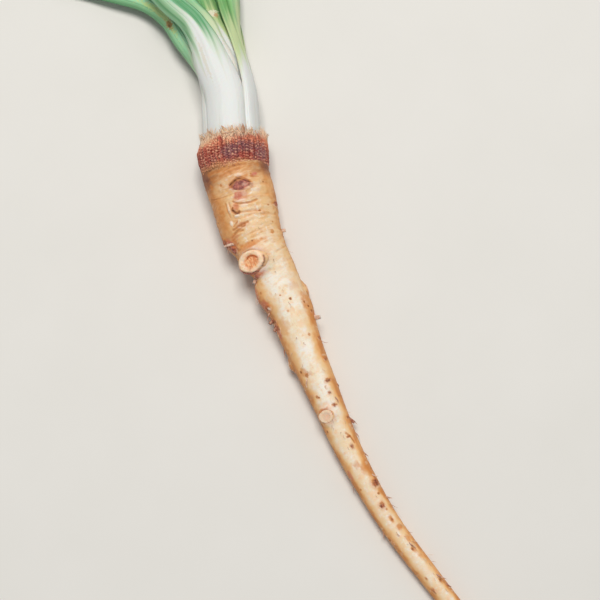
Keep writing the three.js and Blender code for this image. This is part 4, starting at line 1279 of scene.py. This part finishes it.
# The flank value lays tan cork and painted shade together, and the deep tan at the far flanks and the neck
# brown at the sides of the neck carry more of the painted shade.
flank_tan_and_shade = skin.times(skin.mark("flank_tan_and_shade"), skin.between(skin.grain(12), 0.3, 0.62, 0.72, 1.0))
skin.lay_where(flank_tan_and_shade, 0.0, 0.55, FLANK_GOLD)
skin.lay_where(flank_tan_and_shade, 0.42, 0.92, TAN_ORANGE)
deep_flank_and_shade = skin.between(flank_tan_and_shade, 0.74, 1.0, 0, MOST_OF_DEEP_TAN_AND_SHADE)
skin.lay(deep_flank_and_shade, DEEP_TAN_AND_SHADE)
flank_rings = skin.grain(2.2, 4, stretch=(1, 0.3, 0.3))
for low, high, most, tint in ((0.46, 0.32, 0.45, PALE_TAN), (0.56, 0.70, 0.35, CREASE_BROWN)):
    skin.lay(skin.times(deep_flank_and_shade, skin.between(flank_rings, low, high, 0, most / MOST_OF_DEEP_TAN_AND_SHADE)), tint)
neck = skin.mark("neck")
threads = skin.between(skin.grain(0.9, stretch=(1, 0.2, 0.2)), 0.40, 0.60, 0.45, 1.0)
skin.lay(skin.times(neck, threads), NECK_GOLD)
# Neck brown on the flanks of the neck: brown skin and painted shade at its sides.
skin.lay(skin.times(neck, flank_tan_and_shade), NECK_BROWN_AND_SHADE)

# %% Stains, creases, spots and scars
STAIN, BLUSH, PALE_KNOB_AND_HIGHLIGHT = colour(212, 134, 66), colour(204, 104, 90), colour(252, 230, 208)
CRACK_BROWN, SPOT_BROWN = colour(58, 36, 32), colour(128, 72, 44)
SCAR_PURPLE, SCAR_RED = colour(138, 78, 76), colour(196, 120, 104)
SCAB_DARK, SCAB_BROWN = colour(124, 62, 42), colour(184, 106, 68)
patchy = skin.between(skin.grain(1.2), 0.3, 0.6, 0.70, 1.0)
for name, tint in (("stain", STAIN), ("blush", BLUSH)):
    skin.lay(skin.times(skin.mark(name), patchy), tint)
crease, spot = skin.mark("crease"), skin.mark("spot")
skin.lay_where(crease, 0.0, 0.3, STAIN, 0.6)
skin.lay_where(crease, 0.1, 0.8, CREASE_BROWN, 0.9)
skin.lay_where(crease, 0.7, 1.2, CRACK_BROWN, 0.9)
skin.lay_where(spot, 0, 0.4, STAIN, 0.75)
skin.lay_where(spot, 0.2, 1, SPOT_BROWN)
scar_tint = skin.mix(skin.between(skin.grain(2.0), 0.42, 0.66), SCAR_PURPLE, SCAR_RED)
scab_tint = skin.mix(skin.between(skin.grain(0.9), 0.42, 0.60), SCAB_DARK, SCAB_BROWN)
# The pale tint lays pale knobs, and two painted highlights on lit slopes.
for name, tint in (("scar", scar_tint), ("scab", scab_tint), ("pale", PALE_KNOB_AND_HIGHLIGHT)):
    skin.lay(skin.mark(name), tint)

# %% Dull scars and creases, and the finest relief
worn = skin.reckon("MAXIMUM", skin.mark("scar"), crease)
skin.feed(skin.shader.inputs["Roughness"], skin.between(worn, 0, 1, 0.52, 0.85))
skin.press(skin.reckon("ADD", skin.grain(0.5, 4), skin.grain(0.9, stretch=(1, 0.2, 0.2))), 0.14, 0.6)
skin.put_on(root_skin)

# %% [markdown]
# ### Cut ends and side roots
# A cut heals from its edge. Its rolled rim is cream, a dry ring lies inside it, and the core goes
# orange-brown, but a fresh cut is still pale all over. Side roots are pale while they are fresh and brown
# when they dry. A second material for dry ones would do, but they dry little by little, so each thread
# carries a number that says how dry it is.

# %% Cut ends: pale rim, dry ring, orange-brown core
RIM_CREAM, DRY_RING, FRESH_CUT = colour(255, 222, 190), colour(248, 202, 156), colour(236, 206, 180)
CORE_ORANGE, CORE_BROWN, ARC_BROWN = colour(252, 194, 142), colour(234, 154, 102), colour(184, 92, 40)
FOOT_TAN, RAW_DARK, RAW_PINK = colour(236, 188, 140), colour(150, 84, 68), colour(226, 142, 118)
DRY_EDGE, FRESH_EDGE = colour(142, 88, 60), colour(196, 112, 92)
cut = Finish("cut_root_end", DRY_RING, Roughness=0.6, Subsurface_Weight=0.15, Subsurface_Scale=0.003,
             Specular_IOR_Level=0.3)
cut.lay_where(cut.grain(1.4), 0.35, 0.6, RIM_CREAM)
core_share = cut.reckon("ADD", cut.mark("grain"), cut.grain(1.3))
cut.lay(cut.mark("core"), cut.mix(cut.between(core_share, 0.35, 0.72), CORE_ORANGE, CORE_BROWN))
cut.lay(cut.mark("arc"), ARC_BROWN)
scratched = cut.between(cut.grain(0.8, stretch=(1, 0.4, 1)), 0.42, 0.60, 0.45, 1.0)
cut.lay(cut.times(cut.mark("fresh"), scratched), FRESH_CUT)
scrubbed = cut.between(cut.grain(2.6), 0.38, 0.60, 0.25, 0.90)
cut.lay(cut.times(cut.mark("rim"), scrubbed), RIM_CREAM)
cut.lay(cut.mark("foot"), FOOT_TAN)
cut.lay(cut.mark("torn"), cut.mix(cut.between(cut.grain(1.1), 0.42, 0.60), RAW_DARK, RAW_PINK))
cut.lay(cut.times(cut.mark("edge"), 0.85), cut.mix(cut.mark("fresh"), DRY_EDGE, FRESH_EDGE))
cut.press(cut.grain(0.45, 4), 0.12, 0.6)
cut.put_on(*cut_ends)

# %% Threads and stumps: pale when fresh, brown when dry
FRESH_ROOT, DRY_ROOT = colour(240, 208, 182), colour(150, 88, 62)
SPLIT_WHITE, TORN_BROWN = colour(252, 232, 220), colour(132, 74, 66)
thread = Finish("thin_side_roots", FRESH_ROOT, Roughness=0.65, Subsurface_Weight=0.1,
                Subsurface_Scale=0.002, Specular_IOR_Level=0.3)
dryness, reach = thread.mark("dry"), thread.mark("reach")
thread.lay(thread.reckon("ADD", dryness, thread.between(thread.grain(1.5), 0.3, 0.7, -0.25, 0.25)), DRY_ROOT)
split = thread.times(thread.between(reach, 0.86, 0.95), thread.between(dryness, 0.4, 0.9, 1.0, 0.15))
thread.lay(split, SPLIT_WHITE)
thread.lay_where(reach, 0.965, 0.995, TORN_BROWN, 0.8)
thread.press(thread.grain(0.4), 0.08, 0.5)
thread.put_on(root_threads, root_stumps)

# %% [markdown]
# ### Collar fibres
# From the neck up, the fibres go from tan to red-brown, darken to purple in a band across the middle
# where the sleeve is thickest and dampest, and end in straw. Each fibre has its own shade, and beads along
# it, because it was once a vein with cross-walls. Each bead carries a painted highlight on its crest and
# painted shade in the gaps between beads, and the ring under the fibres is painted dark as the shade
# between them. Noise alone would colour neighbouring fibres alike, and they would melt together, so each
# fibre carries its shade and its beads as numbers.

# %% Collar finish
NECK_TAN, RED_BROWN, WARM_TAN = colour(206, 142, 92), colour(170, 66, 46), colour(226, 130, 94)
FRAYED, LIGHT_FIBRE, DARK_FIBRE = colour(248, 216, 182), colour(246, 190, 150), colour(136, 56, 42)
PATCH_TINTS = {"damp": colour(132, 84, 94), "ruddy": colour(184, 66, 54), "straw": colour(250, 208, 162)}
# The bead colours are a painted highlight for the crests and painted shade for the gaps.
BEAD_CREST_HIGHLIGHT, BEAD_GAP_SHADE = colour(240, 178, 144), colour(110, 40, 34)
fibre = Finish("dead_leaf_fibre", NECK_TAN, Roughness=0.65, Specular_IOR_Level=0.4, Sheen_Weight=0.15)
rise = fibre.reckon("ADD", fibre.mark("rise"), fibre.between(fibre.grain(3.5), 0.3, 0.7, -1.2, 1.2))
fibre.lay_where(rise, -2.4, 1.6, RED_BROWN)
fibre.lay_where(rise, 5.8, 9.2, WARM_TAN)
cloud = fibre.between(fibre.grain(1.6), 0.3, 0.7, -0.35, 0.35)
for name, tint in PATCH_TINTS.items():
    fibre.lay_where(fibre.reckon("ADD", fibre.mark(name), cloud), 0.1, 0.95, tint, 0.9)
fibre.lay_where(rise, 10.4, 13.6, FRAYED)
shade, beads = fibre.mark("shade"), fibre.mark("bead")
fibre.lay_where(shade, 0.65, 1.0, LIGHT_FIBRE, 0.55)
fibre.lay_where(shade, 0.40, 0.0, DARK_FIBRE, 0.50)
# Painted highlight on each bead's crest, and painted shade in the gaps between beads.
fibre.lay(fibre.times(fibre.between(beads, 0.1, 1.0), fibre.between(shade, 0.1, 0.9, 0.05, 0.60)), BEAD_CREST_HIGHLIGHT)
fibre.lay_where(beads, 0.0, -0.9, BEAD_GAP_SHADE, 0.60)
fibre.press(fibre.grain(0.35), 0.1, 0.6)
fibre.put_on(collar_ring, collar_fibres)

# %% Papery scraps: straw with brown edges
PAPER_PALE, PAPER_STRAW, PAPER_BROWN = colour(242, 218, 188), colour(222, 174, 130), colour(150, 96, 66)
PAPER_EDGE, PAPER_FOOT = colour(148, 92, 60), colour(170, 96, 66)
paper = Finish("papery_leaf_scrap", PAPER_PALE, Roughness=0.6, Subsurface_Weight=0.1, Subsurface_Scale=0.001)
paper.lay_where(paper.grain(1.2), 0.35, 0.65, PAPER_STRAW)
paper.lay(paper.times(paper.mark("brown"), 0.75), PAPER_BROWN)
paper.lay_where(paper.mark("edge"), 0.7, 1.0, PAPER_EDGE, 0.30)
paper.lay_where(paper.mark("lift"), 0.25, 0.0, PAPER_FOOT, 0.6)
paper.press(paper.grain(0.5, stretch=(0.3, 1, 1)), 0.12, 0.7)
paper.put_on(papery_scraps)

# %% [markdown]
# ### Leaf finish
# Under the collar and a little above it no light reached the leaf, so it is white. It greens from its
# edges inwards, through yellow-green to blue-green, and the midrib stays pale longest. One finish shared
# by all the leaves would be simpler, but they turn green at different heights. So each leaf gets its own
# distances for these changes and its own greens, and one function makes all nine finishes.

# %% Where each leaf turns green, and its stripes from its left margin (-1) to its right one (1)
SHEATH_WHITE = colour(228, 229, 225)
PLAIN_STRIPES = [(-1, (96, 152, 96)), (-0.5, (126, 184, 118)), (0, (176, 214, 158)), (0.5, (120, 180, 112)),
                 (1, (92, 150, 92))]
# pale from, green from, how much later at its rib, where the rib is, pale tint, stripes
LEAF_TINTS = {
    # leaf_1's greens are lighter than the leaf: painted light against the shadow that leaf_2 casts on it.
    "leaf_1": (30, 38, 8, 0.1, (196, 220, 176), [
        (-1, (88, 146, 100)), (-0.8, (126, 182, 130)), (-0.4, (170, 226, 176)), (0.1, (176, 234, 190)),
        (0.7, (186, 236, 184)), (1, (110, 170, 122))]),
    # leaf_2's dark stripe from 0.97 to its right margin is painted shade along that edge.
    "leaf_2": (36, 47, 24, -0.10, (208, 222, 200), [
        (-1, (142, 188, 148)), (-0.72, (98, 150, 102)), (-0.5, (122, 170, 120)), (-0.12, (186, 220, 182)),
        (0.08, (146, 196, 156)), (0.30, (86, 156, 104)), (0.6, (100, 168, 114)), (0.9, (138, 194, 150)),
        (0.97, (84, 146, 96)), (1, (84, 146, 96))]),
    "leaf_3": (46, 60, 10, 0.0, (208, 220, 178), [
        (-1, (112, 168, 112)), (0.2, (140, 192, 144)), (0.5, (150, 202, 150)), (0.8, (138, 194, 142)),
        (1, (104, 156, 104))]),
    "leaf_4": (44, 60, 12, 0.3, (190, 210, 148), [
        (-1, (108, 168, 104)), (-0.1, (120, 178, 110)), (0.3, (124, 172, 106)), (0.8, (108, 152, 88)),
        (1, (108, 158, 98))]),
    "leaf_5": (34, 58, 10, 0.6, (198, 214, 158), [
        (-1, (124, 170, 100)), (-0.7, (118, 174, 104)), (-0.36, (104, 162, 88)), (-0.28, (62, 118, 48)),
        (-0.20, (116, 174, 96)), (0.1, (150, 200, 136)), (0.7, (158, 198, 152)), (1, (120, 160, 114))]),
    "leaf_6": (40, 56, 12, 0.0, (200, 214, 160), PLAIN_STRIPES),
    "leaf_7": (40, 56, 12, 0.0, (200, 214, 160), PLAIN_STRIPES),
    "leaf_8": (38, 52, 12, 0.0, (200, 214, 160), PLAIN_STRIPES),
    "leaf_9": (30, 46, 10, 0.0, (206, 216, 140), [
        (-1, (120, 174, 96)), (0, (176, 208, 128)), (1, (126, 180, 104))]),
}

# %% Stripes across a leaf and streaks along it
def stripes_across(leaf, value, stripes):
    """A ramp of colours from the left margin to the right one."""
    ramp = leaf.nodes.new("ShaderNodeValToRGB")
    stops = ramp.color_ramp.elements
    stops[0].position, stops[1].position = 0.0, 1.0
    for over, tint in stripes[1:-1]:
        stops.new((over + 1) / 2).color = colour(*tint)
    stops[0].color, stops[len(stops) - 1].color = colour(*stripes[0][1]), colour(*stripes[-1][1])
    leaf.feed(ramp.inputs[0], value)
    return ramp.outputs[0]


def streaks_along(leaf, width, length, shift):
    """Unevenness drawn out along the leaf, that many millimetres across and along."""
    place, texture = leaf.nodes.new("ShaderNodeCombineXYZ"), leaf.nodes.new("ShaderNodeTexNoise")
    leaf.feed(place.inputs[0], leaf.reckon("DIVIDE", leaf.mark("off_rib"), width))
    leaf.feed(place.inputs[1], leaf.reckon("DIVIDE", leaf.mark("reach"), length))
    place.inputs[2].default_value = shift
    leaf.feed(texture.inputs["Vector"], place.outputs[0])
    texture.inputs["Scale"].default_value = 1.0
    texture.inputs["Detail"].default_value = 2.0
    return texture.outputs["Fac"]


# %% From a white sheath to a green tip
DEEP_GREEN, FAINT_STREAK, DRY_TIP = colour(58, 124, 78), colour(214, 208, 190), colour(196, 168, 104)
TURNING = 16


def leaf_finish(name, number, pale_from, green_from, rib_delay, rib_at, pale, stripes):
    """The finish of one leaf, each change of colour spread over the turning length."""
    leaf = Finish(f"{name}_finish", SHEATH_WHITE, Subsurface_Weight=0.10, Subsurface_Scale=0.002,
                  Specular_IOR_Level=0.45, Coat_Weight=0.06, Coat_Roughness=0.35)
    along, over, pale_tint = leaf.mark("reach"), leaf.mark("over"), colour(*pale)
    broad, narrow = streaks_along(leaf, 2.2, 60, number), streaks_along(leaf, 0.8, 90, number + 0.5)
    across = leaf.reckon("MULTIPLY_ADD", over, 0.5, leaf.between(broad, 0.3, 0.7, 0.47, 0.53))
    green = leaf.mix(leaf.between(along, 88, 150, 0, 0.45), stripes_across(leaf, across, stripes), DEEP_GREEN)
    off_rib = leaf.reckon("ABSOLUTE", leaf.reckon("SUBTRACT", over, rib_at))
    reach = leaf.reckon("ADD", along, leaf.between(broad, 0.3, 0.7, -5, 5))
    reach = leaf.reckon("SUBTRACT", reach, leaf.between(off_rib, 0.42, 0.10, 0.0, rib_delay))
    leaf.lay_where(reach, pale_from, pale_from + TURNING, pale_tint)
    leaf.lay_where(reach, green_from, green_from + TURNING, green)
    greened = leaf.between(reach, pale_from + 4, green_from + 12)
    light = leaf.times(leaf.between(narrow, 0.52, 0.68, 0.0, 0.42), greened)
    leaf.lay(light, leaf.mix(0.5, pale_tint, green))
    leaf.lay(leaf.times(leaf.between(narrow, 0.48, 0.32, 0.0, 0.34), greened), DEEP_GREEN)
    white = leaf.between(along, green_from + 20, green_from - 10)
    leaf.lay(leaf.times(leaf.between(broad, 0.52, 0.68, 0.0, 0.40), white), FAINT_STREAK)
    leaf.lay_where(leaf.mark("share"), 0.965, 1.0, DRY_TIP, 0.85)
    return leaf


# %% Scorched and torn spots, and one painted highlight: reach, side of the midrib, half length, half width, tint, strength
BLEMISHES = {
    "leaf_1": [
        # The first spot on leaf_1, a long pale yellow-green band, is a painted highlight along a fold of the
        # leaf.
        (78, -1.9, 16, 1.6, (204, 220, 138), 0.75), (71.0, -2.3, 2.8, 1.8, (176, 134, 72), 0.9),
        (70.3, -2.7, 1.2, 0.8, (118, 84, 46), 0.8),
    ],
    "leaf_2": [(44.0, -2.6, 12.0, 0.8, (214, 206, 182), 0.5)],
    "leaf_3": [(41.0, 4.2, 14.0, 1.0, (222, 210, 184), 0.5), (36.0, 2.6, 12.0, 0.6, (224, 216, 196), 0.4)],
    "leaf_4": [(72.0, 2.2, 2.2, 2.4, (240, 232, 208), 0.8), (71.0, 3.6, 1.6, 1.0, (196, 150, 98), 0.8)],
}


def blemish(leaf, reach, side, half_length, half_width, tint, strength):
    """A spot of another tint, with an uneven edge."""
    away = 0.0
    for name, middle, half in (("reach", reach, half_length), ("off_rib", side, half_width)):
        off = leaf.reckon("DIVIDE", leaf.reckon("SUBTRACT", leaf.mark(name), middle), half)
        away = leaf.reckon("MULTIPLY_ADD", off, off, away)
    away = leaf.times(away, leaf.between(leaf.grain(1.1), 0.3, 0.7, 0.4, 2.2))
    leaf.lay_where(away, 1.5, 0.5, colour(*tint), strength)


# %% Finishing the leaves
RIDGES_PER_MM = 11.5
for number, (name, tints) in enumerate(LEAF_TINTS.items(), 1):
    leaf = leaf_finish(name, number, *tints)
    for spot in BLEMISHES.get(name, []):
        blemish(leaf, *spot)
    leaf.feed(leaf.shader.inputs["Roughness"], leaf.between(leaf.mark("reach"), 20, 90, 0.5, 0.4))
    ridges = leaf.reckon("SINE", leaf.times(leaf.mark("off_rib"), RIDGES_PER_MM))
    leaf.press(leaf.reckon("ADD", ridges, leaf.grain(2, stretch=(0.15, 1, 1))), 0.05, 0.6)
    leaf.put_on(leaves[name])

# %% [markdown]
# ## The studio
# The root lies on a plain pale surface. One large soft light hangs high above it, on the side of its
# leaves, so that its flanks fall off gently and the relief shows, and a weak even light fills the
# shadows. A bright sky alone would be easier, but it lights every side of a wrinkle alike, and the relief
# would go flat. The camera looks down almost from straight above, turned so that the leaves point away.

# %% Pale surface to lie on
bpy.ops.mesh.primitive_plane_add(size=6, location=(0, 0, 0))
floor = bpy.context.object
floor.name = "studio_floor"
surface = Finish("pale_floor", colour(226, 223, 216), Roughness=0.9, Specular_IOR_Level=0.1)
surface.lay(surface.grain(60), colour(232, 229, 223))
surface.put_on(floor)

# %% Camera above the root
LENS = 85
DISTANCE = 666
LOOKS_AT = np.array([56.42, 3.58, 12.0])
ELEVATION = math.radians(80)
IMAGE_TURN = math.radians(25.5)
leafward = np.array([-math.cos(IMAGE_TURN), math.sin(IMAGE_TURN), 0])
to_right = np.array([math.sin(IMAGE_TURN), math.cos(IMAGE_TURN), 0])
skyward = np.array([0.0, 0.0, 1.0])
looking = math.cos(ELEVATION) * leafward - math.sin(ELEVATION) * skyward
picture_up = math.sin(ELEVATION) * leafward + math.cos(ELEVATION) * skyward
camera = bpy.data.objects.new("studio_camera", bpy.data.cameras.new("studio_camera"))
bpy.context.scene.collection.objects.link(camera)
camera.data.lens = LENS
camera.data.sensor_width = 36
place = Matrix.Identity(4)
for column, way in enumerate((to_right, picture_up, -looking, (LOOKS_AT - DISTANCE * looking) * MM)):
    for row in range(3):
        place[row][column] = way[row]
camera.matrix_world = place
bpy.context.scene.camera = camera
print("camera at", [round(v, 3) for v in camera.matrix_world.translation])


# %% Soft light from above and a weak fill
def soft_light(name, place, size, power, tint):
    """A square softbox at a place in metres, turned towards the middle of the root."""
    light = bpy.data.objects.new(name, bpy.data.lights.new(name, "AREA"))
    bpy.context.scene.collection.objects.link(light)
    light.data.size = size
    light.data.energy = power
    light.data.color = tint
    light.location = place
    light.rotation_euler = (Vector(LOOKS_AT * MM) - light.location).to_track_quat("-Z", "Y").to_euler()


key_place = LOOKS_AT * MM - 0.03 * to_right + 0.50 * leafward + 1.60 * skyward
soft_light("key_softbox", Vector(key_place), 0.66, 22.0, (1.0, 0.985, 0.96))
world = bpy.data.worlds.new("studio_fill")
bpy.context.scene.world = world
world.use_nodes = True
background = world.node_tree.nodes["Background"]
background.inputs["Color"].default_value = (0.93, 0.96, 1.0, 1)
background.inputs["Strength"].default_value = 0.30
bpy.context.scene.view_settings.view_transform = "Standard"
print("key light at", [round(float(v), 2) for v in key_place], "m")
